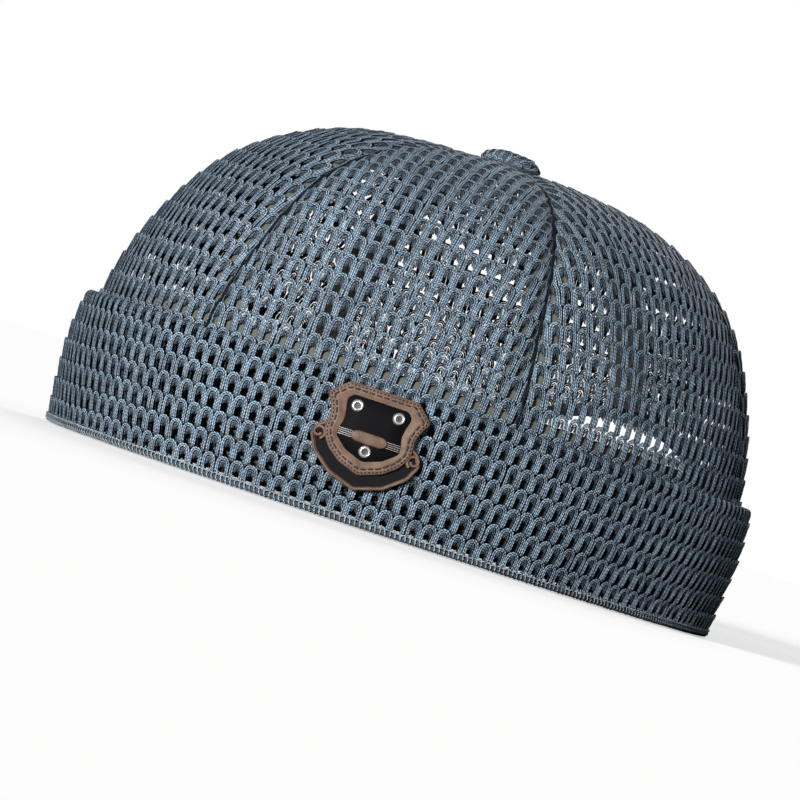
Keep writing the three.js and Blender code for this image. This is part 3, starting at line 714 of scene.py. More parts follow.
CREST = (CUFF_OUTER - CUFF_INNER) / 2
CREST_ARC = [math.pi * step / 12 for step in range(13)]
CUFF_RISE = CUFF_HEIGHT - CREST - CUFF_FOOT
outer_profile = [(CUFF_OUTER, CUFF_FOOT + CUFF_RISE * step / 24) for step in range(24)]
outer_profile += [
    (CUFF_OUTER - CREST + CREST * math.cos(a), CUFF_HEIGHT - CREST + CREST * math.sin(a)) for a in CREST_ARC
]
inner_profile = [(CUFF_INNER, CUFF_HEIGHT - CREST - CUFF_RISE * step / 24) for step in range(25)]
cuff_arch = arch_of_yarn("cuff_arch", CUFF_ALONG, ARCH_STRANDS)
cuff_lining_arch = arch_of_yarn("cuff_lining_arch", CUFF_ALONG, PLAIN_STRANDS)
outer_guide = cuff_guide("cuff_outer_net", outer_profile)
inner_guide = cuff_guide("cuff_inner_net", inner_profile)
outer_size, _ = flat_pattern(outer_guide)
inner_size, _ = flat_pattern(inner_guide)
cuff_grid = {
    "Columns": 125, "Rows": 7, "Across": ARCH_ACROSS, "Along": CUFF_ALONG, "Unevenness": 0.12 * MM,
    "Seam_Squeeze": 1.0 * MM,
}
cuff_outer = knit(
    outer_guide, Arch=cuff_arch, Plain_Below=-1.0, First_Row=3.2 * MM, Seed=21, Yarn=NET_YARN, **cuff_grid,
)
# The cuff's inner layer is in the darker yarn, painted shade
cuff_inner = knit(
    inner_guide, Plain_Arch=cuff_lining_arch, Plain_Below=1.0, First_Row=2.0 * MM, Seed=22,
    Plain_Yarn=SHADED_INNER_YARN, **cuff_grid,
)
for net, cut_size in ((cuff_outer, outer_size), (cuff_inner, inner_size)):
    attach(net, "root")
    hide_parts("cuff")


# Sweatband
# A flat band of grey green cloth inside the rim, sewn in rows. Its ends stop at the arch.

BAND_FOOT = 2.5 * MM
BAND_TOP = 40.5 * MM
BAND_FACE = -1.9 * MM
BAND_WALL = 1.2 * MM
WEB_MIDDLE = 16.0 * MM
WEB_EASE = 0.6 * MM
WEB_WALL = 1.4 * MM
WEB_TUCK = 12.0 * MM
BAND_ROWS = (4.7 * MM, 14.1 * MM, 23.5 * MM, 32.9 * MM)
ROW_TUCK = 0.25 * MM
BAND_SWELL = 0.12 * MM
BAND_ROUNDING = 0.45 * MM


def cloth_finish(name, base, shade, thread, roughness=0.9):
    """Plain woven cloth: fine crossing threads, with a soft drift in tone."""
    material, tree, shader = finish(name, Roughness=roughness, Specular_IOR_Level=0.2, Sheen_Weight=0.15)
    cloth_map = add(tree, "ShaderNodeTexCoord").outputs["UV"]
    warp = add(tree, "ShaderNodeTexWave", {
        "Vector": cloth_map, "Scale": 0.314 / thread, "Distortion": 0.6, "Detail": 1.0,
    }, wave_type="BANDS", bands_direction="DIAGONAL")
    weave = calculate(tree, "ADD", warp.outputs["Fac"], mottle(tree, 900.0, 2.0))
    color_surface(tree, shader, blended(tree, mottle(tree, 55.0, 4.0), shade, base))
    grain_surface(tree, shader, weave, 0.4, 0.08 * MM)
    return material


BAND_CLOTH = cloth_finish("band_cloth", (0.150, 0.157, 0.136, 1.0), (0.095, 0.101, 0.088, 1.0), 0.5 * MM)


def shell(name, front, back, material, step=MM):
    """A closed wall between two grids of points, with its length and height as its map."""
    rows, columns = front.shape[:2]
    mesh = bpy.data.meshes.new(name)
    index = np.arange(rows * columns).reshape(rows, columns)
    faces = np.stack([index[:-1, :-1], index[:-1, 1:], index[1:, 1:], index[1:, :-1]], -1).reshape(-1, 4)
    reverse = (faces + rows * columns)[:, ::-1]
    rim = np.concatenate([index[0], index[1:, -1], index[-1, -2::-1], index[-2:0:-1, 0]])
    after = np.roll(rim, -1)
    walls = np.stack([after, rim, rim + rows * columns, after + rows * columns], -1)
    mesh.from_pydata(
        np.concatenate([front.reshape(-1, 3), back.reshape(-1, 3)]).tolist(), [],
        np.concatenate([faces, reverse, walls]).tolist(),
    )
    mesh.shade_smooth()
    along, up = distance_along(front[rows // 2]), distance_along(front[:, columns // 2])
    flat = np.stack(np.broadcast_arrays(along[None, :], up[:, None]), -1).reshape(-1, 2) / step
    flat = np.concatenate([flat, flat])
    corners = np.concatenate([faces, reverse, walls]).ravel()
    cloth_map = mesh.uv_layers.new(name="UVMap")
    cloth_map.data.foreach_set("uv", flat[corners].ravel())
    made = bpy.data.objects.new(name, mesh)
    scene.collection.objects.link(made)
    mesh.materials.append(material)
    return made


web_turns, web_arcs = ring_turns(BACK_SEAM, WEB_MIDDLE, 0.0)
web_radius, _ = outline_at(climb_at(WEB_MIDDLE))
BAND_END = BACK_SEAM - math.degrees(math.asin(ARCH_HALF_WIDTH / (CROWN_WIDTH / 2 * float(web_radius))))
ARCH_ARC = float(np.interp(2 * BACK_SEAM - BAND_END, web_turns, web_arcs))


def smooth(value, low, high):
    """How far a value has come from low to high, from 0 to 1, with a soft start and end."""
    share = np.clip((value - low) / (high - low), 0.0, 1.0)
    return share * share * (3.0 - 2.0 * share)


def band_inset(turn):
    """The band is let in at both ends, so that the webbing tucks behind it."""
    from_end = np.interp(360.0 - np.abs(turn), web_turns, web_arcs) - ARCH_ARC
    let_out = smooth(from_end, WEB_TUCK + 1.75 * MM, WEB_TUCK + 11.75 * MM)
    return (WEB_WALL + 2 * WEB_EASE - 0.3 * MM) * (1.0 - let_out)


def near_rows(heights, rows, width):
    """How near heights are to one of some level rows, 1 on the row itself."""
    return sum(np.exp(-(((heights - row) / width) ** 2)) for row in rows)


band_turns = np.linspace(-BAND_END, BAND_END, 260)[None, :]
band_heights = np.linspace(BAND_FOOT, BAND_TOP, 58)[:, None]
pucker = near_rows(band_heights, BAND_ROWS, 0.9 * MM)
swell = BAND_SWELL * np.sin(band_turns * 1.9) * np.sin(band_heights / (5.1 * MM))
tuck = ROW_TUCK * pucker + swell
round_edge = BAND_ROUNDING * near_rows(band_heights, (BAND_FOOT, BAND_TOP), 0.5 * MM)
band_face = BAND_FACE - band_inset(band_turns)
band_front = wall_point(band_turns, band_heights, band_face - 0.4 * tuck - round_edge)
band_back = wall_point(band_turns, band_heights, band_face - BAND_WALL + tuck + round_edge)
sweatband = shell("sweatband_cloth", band_front, band_back, BAND_CLOTH)
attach(sweatband, "root")
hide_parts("sweatband")


# Seam tapes
# A cloth tape covers each seam from inside and shows grey green through the net beside the seam.

TAPE_WIDTH = 13.0 * MM
TAPE_WALL = 0.5 * MM
TAPE_DEPTH = 2.35 * MM
TAPE_DIP = 0.5
TAPE_TURNS = 51.6
TAPE_TOP_RADIUS = 5.0 * MM
ABOVE_ARCH = ARCH_TOP + 2.4 * MM


def tape_half(seam, climbs):
    """Half the width of a seam's tape, which is cut narrower where the tapes close in on the apex."""
    return np.minimum(TAPE_WIDTH, TAPE_TURNS * degree_round(seam, climbs)) / 2


for number, seam in enumerate(PANEL_SEAMS[:-1]):
    foot = ABOVE_ARCH if seam == BACK_SEAM else BAND_TOP + 0.6 * MM
    climbs = np.linspace(climb_at(foot), climb_inside(TAPE_TOP_RADIUS), 60)[:, None]
    half = tape_half(seam, climbs)
    shares = np.linspace(-1.0, 1.0, 13)[None, :]
    turns = seam + shares * half / degree_round(seam, climbs)
    radius, height = outline_at(climbs)
    dip = seam_dip(np.abs(shares) * half, height * CROWN_HEIGHT, radius)
    outward = crown_outward(turns, climbs)
    front = crown_skin(turns, climbs) - outward * (TAPE_DEPTH + TAPE_DIP * dip)[..., None]
    tape = shell(f"seam_tape_cloth_{number + 1}", front, front - outward * TAPE_WALL, BAND_CLOTH)
    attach(tape, "root")
    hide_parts(f"seam_tape_{number + 1}")


# Seam cords
# The panels' edges are overlocked together, and the dark joint shows as a wavering line in each groove, its
# near-black colour partly the joint's own and partly painted shade in the groove.

CORD_HALF_WIDTH = 0.42 * MM
CORD_HALF_DEPTH = 0.35 * MM
CORD_SUNK = 0.75 * MM
CORD_DIP = 0.82
CORD_FOOT = GROOVE_FOOT - 6.0 * MM
CORD_WAVER = 0.28 * MM
CORD_TREMBLE = 0.14 * MM
CORD_TREMBLE_LENGTH = 1.7 * MM
CORD_TOP_RADIUS = 7.0 * MM


def plain_finish(name, color, **surface):
    """A material of one colour all over."""
    material, _, _ = finish(name, Base_Color=(*color, 1.0), **surface)
    return material


# The joint's cord, near black: the joint's own colour and painted shade in the groove
SEAM_YARN_AND_SHADE = plain_finish("seam_yarn", (0.008, 0.011, 0.015), Roughness=0.9, Specular_IOR_Level=0.1)


def shaded(name, builder, material, crease=None):
    """A smooth piece from a mesh that was built up, creased only where it turns by more than an angle."""
    made = built(name, builder)
    made.data.shade_smooth()
    if crease is not None:
        made.data.set_sharp_from_angle(angle=math.radians(crease))
    made.data.materials.append(material)
    scene.collection.objects.link(made)
    return made


def closed_bar(name, rings, material, step=MM):
    """A closed bar through rings of points, given as lines along it, with length and girth as its map."""
    sides, stations = rings.shape[:2]
    builder = bmesh.new()
    layer = builder.loops.layers.uv.new("UVMap")
    lines = [[builder.verts.new(point) for point in line] for line in rings]
    length = distance_along(rings.mean(axis=0)) / step
    halfway = rings[:, stations // 2]
    girth = distance_along(np.vstack([halfway, halfway[:1]])) / step
    for side, line in enumerate(lines):
        beside = lines[(side + 1) % sides]
        for station in range(stations - 1):
            face = builder.faces.new((line[station], line[station + 1], beside[station + 1], beside[station]))
            spots = ((station, side), (station + 1, side), (station + 1, side + 1), (station, side + 1))
            for loop, (along, round_it) in zip(face.loops, spots):
                loop[layer].uv = (length[along], girth[round_it])
    builder.faces.new([line[0] for line in lines])
    builder.faces.new([line[-1] for line in lines][::-1])
    return shaded(name, builder, material)


for number, seam in enumerate(PANEL_SEAMS[:-1]):
    foot = ABOVE_ARCH if seam == BACK_SEAM else CORD_FOOT
    climbs = np.linspace(climb_at(foot), climb_inside(CORD_TOP_RADIUS), 150)
    radius, height = outline_at(climbs)
    walked = distance_along(crown_skin(seam, climbs))
    waver = CORD_WAVER * np.sin(2 * math.pi * walked / ARCH_ALONG)
    waver += CORD_TREMBLE * np.sin(walked / CORD_TREMBLE_LENGTH + number)
    depth = CORD_DIP * seam_dip(0.0, height * CROWN_HEIGHT, radius) + CORD_SUNK
    lines = []
    for angle in np.linspace(0.0, 2 * math.pi, 6, endpoint=False):
        turns = seam + (waver + CORD_HALF_WIDTH * math.cos(angle)) / degree_round(seam, climbs)
        sunk = depth - CORD_HALF_DEPTH * math.sin(angle)
        lines.append(crown_skin(turns, climbs) - crown_outward(turns, climbs) * sunk[..., None])
    cord = closed_bar(f"seam_cord_{number + 1}", np.stack(lines), SEAM_YARN_AND_SHADE)
    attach(cord, "root")
    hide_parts(f"crown_panel_{number + 1}")


# Top button
# A flat button over the apex, where the six panels meet, covered in a scrap of the same net.

BUTTON_RADIUS = 8.9 * MM
BUTTON_HEIGHT = 4.8 * MM
BUTTON_FOOT = CROWN_HEIGHT - 0.5 * MM
BUTTON_PROFILE = (
    (0.0, 1.0),
    (0.25, 0.985),
    (0.5, 0.93),
    (0.72, 0.82),
    (0.88, 0.62),
    (0.98, 0.36),
    (1.0, 0.14),
    (0.94, 0.0),
)
BUTTON_PLACE = CAP_MIDDLE + Vector((0.0, APEX_SET_BACK, BUTTON_FOOT))


def button_surface(inset, rings=22, sides=48):
    """Points of the button's dome, ring by ring from its middle, and how far out each ring lies."""
    shares = np.array(BUTTON_PROFILE)
    place = np.linspace(0.0, 1.0, rings) * (len(shares) - 1)
    radius = np.interp(place, range(len(shares)), shares[:, 0]) * (BUTTON_RADIUS - inset)
    height = np.interp(place, range(len(shares)), shares[:, 1]) * (BUTTON_HEIGHT - inset)
    angle = np.linspace(0.0, 2 * math.pi, sides + 1)[None, :]
    reach = distance_along(np.column_stack([np.maximum(radius, 0.02 * MM), height]))[:, None]
    radius, height = np.maximum(radius, 0.02 * MM)[:, None], height[:, None]
    points = np.stack(np.broadcast_arrays(radius * np.cos(angle), radius * np.sin(angle), height), -1)
    return points + np.array(BUTTON_PLACE), reach, angle


CORE_CLOTH = cloth_finish("button_cloth", (0.075, 0.105, 0.140, 1.0), (0.035, 0.050, 0.068, 1.0), 0.6 * MM)
core_points, _, _ = button_surface(1.0 * MM)
core_base = core_points.copy()
core_base[..., 2] = BUTTON_PLACE.z
core = shell("button_core", core_points[::-1], core_base[::-1], CORE_CLOTH)

dome, reach, angle = button_surface(0.1 * MM)
dome_outward = -unit(np.cross(np.gradient(dome, axis=1), np.gradient(dome, axis=0)))
button_guide = guide_surface(
    "button_net", dome[::-1], dome_outward[::-1], (reach * np.cos(angle))[::-1],
    (reach * np.sin(angle))[::-1], (-1.0, 1.0, 1.0),
)
BUTTON_STRANDS = (
    (LONG_ARCH, 1.22, 2.9, 5.6, 0.56, 3),
    (SHORT_ARCH, 0.72, 2.0, 3.2, 0.52, 3),
)
BUTTON_ACROSS = 2.8 * MM
BUTTON_ALONG = 3.7 * MM
button_arch = arch_of_yarn("button_arch", BUTTON_ALONG, BUTTON_STRANDS)
button_net = knit(
    button_guide, Arch=button_arch, Plain_Below=-1.0, Columns=9, Rows=7, Across=BUTTON_ACROSS,
    Along=BUTTON_ALONG, First_Row=-11.1 * MM, Unevenness=0.15 * MM, Seam_Squeeze=1.2 * MM, Seed=31,
    Yarn=NET_YARN,
)
for made in (core, button_net):
    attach(made, "root")
    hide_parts("top_button")


# Arch binding
# The cut edge of the net round the arch at the back is bound with a narrow dark blue tape.

BINDING_TAPE = cloth_finish(
    "binding_tape", (0.050, 0.068, 0.090, 1.0), (0.028, 0.040, 0.055, 1.0), 0.45 * MM,
)
BINDING_INSIDE = 1.9 * MM
BINDING_OUTSIDE = -1.5 * MM
BINDING_SECTION = (
    (0.0, 0.42),
    (0.35, 0.62),
    (0.8, 0.55),
    (1.0, 0.0),
    (1.0, -1.2),
    (0.8, -1.75),
    (0.35, -1.8),
    (0.0, -1.6),
)


def arch_edge(count=120):
    """The arch's edge as it is seen from the front: the wearer's left foot, over the top, the right foot."""
    straight = np.linspace(CROWN_FOOT, ARCH_SPRING, 14, endpoint=False)
    angle = np.linspace(0.0, math.pi, count)
    curve = np.stack([
        ARCH_HALF_WIDTH * np.cos(angle), ARCH_SPRING + (ARCH_TOP - ARCH_SPRING) * np.sin(angle),
    ], -1)
    left = np.stack([np.full(14, ARCH_HALF_WIDTH), straight], -1)
    right = np.stack([np.full(14, -ARCH_HALF_WIDTH), straight[::-1]], -1)
    return np.concatenate([left, curve, right])


def back_wall(across, height, out):
    """A point of the back of the crown, by its place as seen from the front."""
    climb = climb_at(height)
    radius, _ = outline_at(climb)
    turn = BACK_SEAM - np.degrees(np.arcsin(np.clip(across / (CROWN_WIDTH / 2 * radius), -1.0, 1.0)))
    return crown_skin(turn, climb) + crown_outward(turn, climb) * out


arch_line = arch_edge()
arch_travel = unit(np.gradient(arch_line, axis=0))


def along_binding(share, out):
    """A line along the binding, at a share of its width from the arch's opening and out of the wall."""
    inset = BINDING_OUTSIDE + (BINDING_INSIDE - BINDING_OUTSIDE) * share
    across = arch_line[:, 0] - arch_travel[:, 1] * inset
    height = arch_line[:, 1] + arch_travel[:, 0] * inset
    return back_wall(across, height, out)


binding_lines = [along_binding(share, out * MM) for share, out in BINDING_SECTION]
binding = closed_bar("arch_tape", np.stack(binding_lines), BINDING_TAPE)
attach(binding, "root")
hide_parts("arch_binding")


# Strap and anchor loop
# Ribbed black webbing runs inside the band's ends and across the arch. The longer piece passes
# through the buckle, and the shorter is sewn in a loop round the buckle's end bar.

WEB_WIDTH = 24.5 * MM
WEB_FACE = -2.2 * MM
WEB_CORE = WEB_FACE - WEB_WALL / 2
WEB_RIB = 1.12 * MM
WEB_RIB_DEEP = 0.14 * MM
BUCKLE_MIDDLE = 21.0 * MM
BUCKLE_LENGTH = 18.0 * MM
BUCKLE_START = BUCKLE_MIDDLE - BUCKLE_LENGTH / 2
BUCKLE_END = BUCKLE_MIDDLE + BUCKLE_LENGTH / 2
END_BAR = 1.8 * MM
END_BAR_MIDDLE = BUCKLE_END - END_BAR / 2
LOOP_OUTSIDE = END_BAR / 2 + 0.3 * MM + WEB_WALL
BAR_START = BUCKLE_START + 2.5 * MM
BAR_END = BAR_START + 4.0 * MM
TAIL_CORE = WEB_CORE + LOOP_OUTSIDE + 0.3 * MM + WEB_WALL / 2
WEB_TAIL = 8.0 * MM
WEB_SECTION = [-1.0 + 2.0 * step / 12 for step in range(13)]


def along_back(along, height, out):
    """A point along the back of the cap, positive to the wearer's left."""
    turn = np.interp(-along, web_arcs, web_turns)
    return wall_point(turn, height, out)


def web_finish():
    """Black nylon: each rib is a row of glossy bundles with painted highlights, set off by gaps in painted
    shade.
    """
    material, tree, shader = finish("black_webbing", Roughness=0.5, Specular_IOR_Level=0.45)
    web_map = add(tree, "ShaderNodeUVMap", uv_map="UVMap")
    axes = add(tree, "ShaderNodeSeparateXYZ", {0: web_map.outputs[0]})

    def wave(source, pitch):
        """A value that swings from -1 to 1 once in each pitch."""
        return calculate(tree, "SINE", calculate(tree, "MULTIPLY", source, 2 * math.pi / pitch))

    ribs = wave(axes.outputs["X"], WEB_RIB / MM)
    bundles = wave(axes.outputs["Y"], 0.55)
    woven = calculate(tree, "MULTIPLY", ribs, bundles)
    # Painted highlight on the tops of the bundles and painted shade in the gaps between them
    glint = mapped(tree, woven, (0.2, 1.0))
    color_surface(tree, shader, blended(tree, glint, (0.008, 0.009, 0.010, 1.0), (0.045, 0.048, 0.052, 1.0)))
    grain_surface(tree, shader, woven, 0.8, 0.12 * MM)
    return material


WEBBING = web_finish()


def webbing(name, core, thickness):
    """Webbing along a line of places along the back and offsets, ribbed across."""
    core = np.array(core)
    steps = distance_along(core)
    walked = np.linspace(0.0, steps[-1], int(steps[-1] / (WEB_RIB / 5)))
    core = np.stack([np.interp(walked, steps, core[:, axis]) for axis in (0, 1)], -1)
    travel = unit(np.gradient(core, axis=0))
    rib = 0.5 + 0.5 * np.cos(2 * math.pi * walked / WEB_RIB)
    half = thickness / 2 - WEB_RIB_DEEP * (1.0 - rib)
    wide = WEB_WIDTH / 2 - 0.25 * MM * (1.0 - rib)
    lines = []
    for face in (1.0, -1.0):
        for share in WEB_SECTION if face > 0 else WEB_SECTION[::-1]:
            thin = np.sqrt(np.maximum(1.0 - abs(share) ** 14, 0.04))
            along = core[:, 0] - travel[:, 1] * half * face * thin
            out = core[:, 1] + travel[:, 0] * half * face * thin
            lines.append(along_back(along, WEB_MIDDLE + share * wide, out))
    return closed_bar(name, np.stack(lines), WEBBING)


strap_core = []
for along in np.linspace(-ARCH_ARC - WEB_TUCK, BUCKLE_END + WEB_TAIL, 160):
    rise = smooth(along, BAR_END, END_BAR_MIDDLE - LOOP_OUTSIDE)
    strap_core.append((along, WEB_CORE + (TAIL_CORE - WEB_CORE) * float(rise)))
strap = webbing("strap_webbing", strap_core, WEB_WALL)
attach(strap, "root")
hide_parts("back_strap")

# The anchor is one length of webbing folded round the end bar, its two layers sewn flat together
LAYER = 0.66 * MM
LAYER_OUT = LAYER / 2 + 0.02 * MM
LOOP_CORE = END_BAR / 2 + 0.35 * MM + LAYER / 2
loop_mouth = math.asin(LAYER_OUT / LOOP_CORE)
anchor_core = [(ARCH_ARC + WEB_TUCK, WEB_CORE + LAYER_OUT)]
anchor_core += [
    (END_BAR_MIDDLE + LOOP_CORE * math.cos(a), WEB_CORE + LOOP_CORE * math.sin(a))
    for a in np.linspace(loop_mouth, 2 * math.pi - loop_mouth, 40)
]
anchor_core += [(ARCH_ARC + WEB_TUCK, WEB_CORE - LAYER_OUT)]
anchor = webbing("anchor_webbing", anchor_core, LAYER)
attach(anchor, "root")
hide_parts("strap_anchor")


# Slider buckle
# A moulded black slide with a smooth plate inside, a fixed bar that grips the strap and an end bar.

PLATE_CREST = WEB_FACE - WEB_WALL - 0.5 * MM
PLATE_FOOT = PLATE_CREST - 1.6 * MM
BAR_FOOT = WEB_FACE + 0.5 * MM
BAR_CREST = BAR_FOOT + END_BAR
RAIL = 2.25 * MM
RAIL_FOOT = WEB_MIDDLE - WEB_WIDTH / 2 - 0.5 * MM - RAIL
RAIL_CREST = WEB_MIDDLE + WEB_WIDTH / 2 + 0.5 * MM + RAIL


def resin_finish():
    """Moulded black plastic with a faint grain and soft highlights."""
    material, tree, shader = finish(
        "buckle_plastic", Base_Color=(0.012, 0.013, 0.014, 1.0), Specular_IOR_Level=0.45,
    )
    scuffed = mapped(tree, mottle(tree, 120.0, 4.0), (0.35, 0.7), (0.30, 0.5))
    tree.links.new(scuffed, shader.inputs["Roughness"])
    grain_surface(tree, shader, mottle(tree, 1400.0, 2.0), 0.15, 0.05 * MM)
    return material


BUCKLE_PLASTIC = resin_finish()


def cut_finely(builder, axis, step):
    """Cuts a mesh across at even steps, so that it can follow a curve."""
    spots = [vert.co[axis] for vert in builder.verts]
    normal = Vector([float(k == axis) for k in range(3)])
    for spot in np.arange(min(spots) + step, max(spots) - step / 2, step):
        geometry = builder.verts[:] + builder.edges[:] + builder.faces[:]
        bmesh.ops.bisect_plane(builder, geom=geometry, plane_co=normal * float(spot), plane_no=normal)


def bent_block(builder, low, high, bevel):
    """Adds a rounded block in the flat, by along, height and out, to a mesh."""
    low, high = Vector(low), Vector(high)
    made = bmesh.ops.create_cube(builder, size=1.0)["verts"]
    for vert in made:
        vert.co = Vector([lo + (co + 0.5) * (hi - lo) for lo, co, hi in zip(low, vert.co, high)])
    edges = list({edge for vert in made for edge in vert.link_edges})
    bmesh.ops.bevel(builder, geom=edges, offset=bevel, segments=3, profile=0.6, affect="EDGES")


buckle_parts = bmesh.new()
plate_end = END_BAR_MIDDLE - LOOP_OUTSIDE - 0.3 * MM
for low, high, bevel in (
    ((BUCKLE_START, RAIL_FOOT, PLATE_FOOT), (plate_end, RAIL_CREST, PLATE_CREST), 0.5 * MM),
    ((BAR_START, RAIL_FOOT + MM, BAR_FOOT), (BAR_END, RAIL_CREST - MM, BAR_CREST), 0.55 * MM),
    ((BUCKLE_START, RAIL_FOOT, PLATE_FOOT), (BUCKLE_END, RAIL_FOOT + RAIL, BAR_CREST), 0.6 * MM),
    ((BUCKLE_START, RAIL_CREST - RAIL, PLATE_FOOT), (BUCKLE_END, RAIL_CREST, BAR_CREST), 0.6 * MM),
    ((BUCKLE_END - END_BAR, RAIL_FOOT + MM, WEB_CORE - END_BAR / 2),
     (BUCKLE_END, RAIL_CREST - MM, WEB_CORE + END_BAR / 2), 0.7 * MM),
):
    bent_block(buckle_parts, low, high, bevel)
cut_finely(buckle_parts, 0, 1.2 * MM)
flat_buckle = np.array([vert.co for vert in buckle_parts.verts])
for vert, place in zip(buckle_parts.verts, along_back(*flat_buckle.T)):
    vert.co = place
slide = shaded("buckle_slide", buckle_parts, BUCKLE_PLASTIC, crease=40.0)
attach(slide, "root")
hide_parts("slider_buckle")


# Badge
# A moulded leather shield on the cuff, over a ribbon scroll with a dark sunken field. The shield is
# sewn round its border and holds a black plate with three rivets and a small crossbar.

BADGE_TURN = 34.0
BADGE_MIDDLE = 22.0 * MM
BADGE_HALF_WIDTH = 14.5 * MM
BADGE_HALF_HEIGHT = 13.2 * MM
BADGE_SEAT = CUFF_OUTER + 0.3 * MM
SHIELD_TOP = (
    (0.62, 1.0),
    (0.93, 0.68),
    (0.81, 0.45),
    (0.76, 0.26),
    (0.78, 0.12),
)
SCROLL_OUTSIDE = (
    (0.9, 0.05),
    (1.0, -0.19),
    (0.86, -0.5),
    (0.5, -0.82),
    (0.0, -1.0),
)
SHIELD_FOOT = (
    (0.79, 0.02),
    (0.75, -0.14),
    (0.63, -0.34),
    (0.4, -0.54),
    (0.0, -0.7),
)
PLATE_OUTLINE = (
    (0.49, 0.77),
    (0.58, 0.65),
    (0.53, 0.42),
    (0.51, 0.26),
    (0.55, 0.08),
    (0.56, -0.07),
    (0.33, -0.29),
    (0.0, -0.42),
)
OUTLINE_STEP = 0.45 * MM

badge_turns, badge_arcs = ring_turns(BADGE_TURN, BADGE_MIDDLE, BADGE_SEAT)


def on_cuff(places):
    """Bends places on the flat badge, by across, up and out, round the front of the cuff."""
    places = np.asarray(places, float)
    turn = np.interp(places[..., 0], badge_arcs, badge_turns)
    return wall_point(turn, BADGE_MIDDLE + places[..., 1], BADGE_SEAT + places[..., 2])


def both_sides(rows):
    """A whole outline in metres, round from the top left, from the rows of its right half."""
    right = [(x * BADGE_HALF_WIDTH, y * BADGE_HALF_HEIGHT) for x, y in rows]
    left = [(-x, y) for x, y in right if x > 0]
    return np.array(right + left[::-1])


def rounded(outline, spacing, smoothing=2):
    """An outline with softened corners and even steps."""
    closed = np.vstack([outline, outline[:1]])
    length = distance_along(closed)
    walked = np.linspace(0.0, length[-1], max(int(length[-1] / spacing), 8), endpoint=False)
    line = np.stack([np.interp(walked, length, closed[:, axis]) for axis in (0, 1)], -1)
    for _ in range(smoothing):
        line = (np.roll(line, 1, axis=0) + 2 * line + np.roll(line, -1, axis=0)) / 4
    return line


def inset_line(line, inset):
    """A closed line moved towards its inside."""
    travel = unit(np.roll(line, -1, axis=0) - np.roll(line, 1, axis=0))
    turned = np.stack([travel[:, 1], -travel[:, 0]], -1)
    if np.sum(line[:, 0] * np.roll(line[:, 1], -1) - np.roll(line[:, 0], -1) * line[:, 1]) > 0:
        turned = -turned
    return line + turned * inset


def moulded(name, outline, steps, material):
    """A plate on the cuff built up from an outline in steps of inset and height, filled at the last."""
    builder = bmesh.new()
    line = rounded(outline, OUTLINE_STEP)
    rings = []
    for inset, height in steps:
        flat = inset_line(line, inset)
        places = on_cuff(np.column_stack([flat, np.full(len(flat), height)]))
        rings.append([builder.verts.new(place) for place in places])
    for below, above in zip(rings, rings[1:]):
        for k in range(len(line)):
            after = (k + 1) % len(line)
            builder.faces.new((below[k], below[after], above[after], above[k]))
    flat = inset_line(line, steps[-1][0])
    center = builder.verts.new(on_cuff((*flat.mean(axis=0), steps[-1][1])))
    middle = []
    for vert, place in zip(rings[-1], flat):
        half = (place + flat.mean(axis=0)) / 2
        middle.append(builder.verts.new(on_cuff((*half, steps[-1][1]))))
    for k in range(len(line)):
        after = (k + 1) % len(line)
        builder.faces.new((rings[-1][k], rings[-1][after], middle[after], middle[k]))
        builder.faces.new((middle[k], middle[after], center))
    builder.faces.new(rings[0][::-1])
    made = shaded(name, builder, material, crease=50.0)
    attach(made, "root")
    return made


def leather_finish():
    """Brown leather with a fine grain, a little darker where it is worn and pressed."""
    material, tree, shader = finish("brown_leather", Roughness=0.58, Specular_IOR_Level=0.35)
    place = add(tree, "ShaderNodeTexCoord").outputs["Object"]
    grain = add(tree, "ShaderNodeTexVoronoi", {"Vector": place, "Scale": 2600.0}).outputs["Distance"]
    stain = mottle(tree, 420.0, 5.0)
    tone = mapped(tree, stain, (0.3, 0.7))
    color_surface(tree, shader, blended(tree, tone, (0.098, 0.056, 0.038, 1.0), (0.180, 0.110, 0.076, 1.0)))
    grain_surface(tree, shader, calculate(tree, "ADD", grain, stain), 0.35, 0.08 * MM)
    return material


LEATHER = leather_finish()
LACQUER = plain_finish("black_lacquer", (0.004, 0.004, 0.005), Roughness=0.6, Specular_IOR_Level=0.05)
SUNKEN = plain_finish("sunken_field", (0.010, 0.010, 0.012), Roughness=0.8, Specular_IOR_Level=0.05)

whole_outline = both_sides(SHIELD_TOP + SCROLL_OUTSIDE)
shield_outline = both_sides(SHIELD_TOP + SHIELD_FOOT)
plate_outline = both_sides(PLATE_OUTLINE)
backing = moulded("badge_backing", whole_outline, (
    (0.0, 0.0), (0.0, 1.5 * MM), (0.15 * MM, 1.85 * MM), (0.45 * MM, 1.95 * MM), (0.7 * MM, 1.8 * MM),
    (0.8 * MM, 1.3 * MM), (0.85 * MM, 1.1 * MM),
), LEATHER)
field = moulded("scroll_field", whole_outline, ((0.9 * MM, 1.0 * MM), (0.92 * MM, 1.14 * MM)), SUNKEN)
shield = moulded("badge_leather_shield", shield_outline, (
    (0.0, 1.0 * MM), (0.0, 1.9 * MM), (0.12 * MM, 2.2 * MM), (0.4 * MM, 2.38 * MM), (1.2 * MM, 2.4 * MM),
    (1.5 * MM, 2.28 * MM), (1.8 * MM, 2.4 * MM), (2.3 * MM, 2.36 * MM), (2.7 * MM, 2.1 * MM),
), LEATHER)
plate = moulded("badge_lacquer_plate", plate_outline, (
    (0.0, 1.9 * MM), (0.0, 2.35 * MM), (0.15 * MM, 2.5 * MM),
), LACQUER)
for made in (backing, field, shield):
    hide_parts("badge_shield")
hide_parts("badge_plate")


# Stitching
# Rows of sewing thread on the band and tapes, and an overlocked edge of looped thread along the rim.

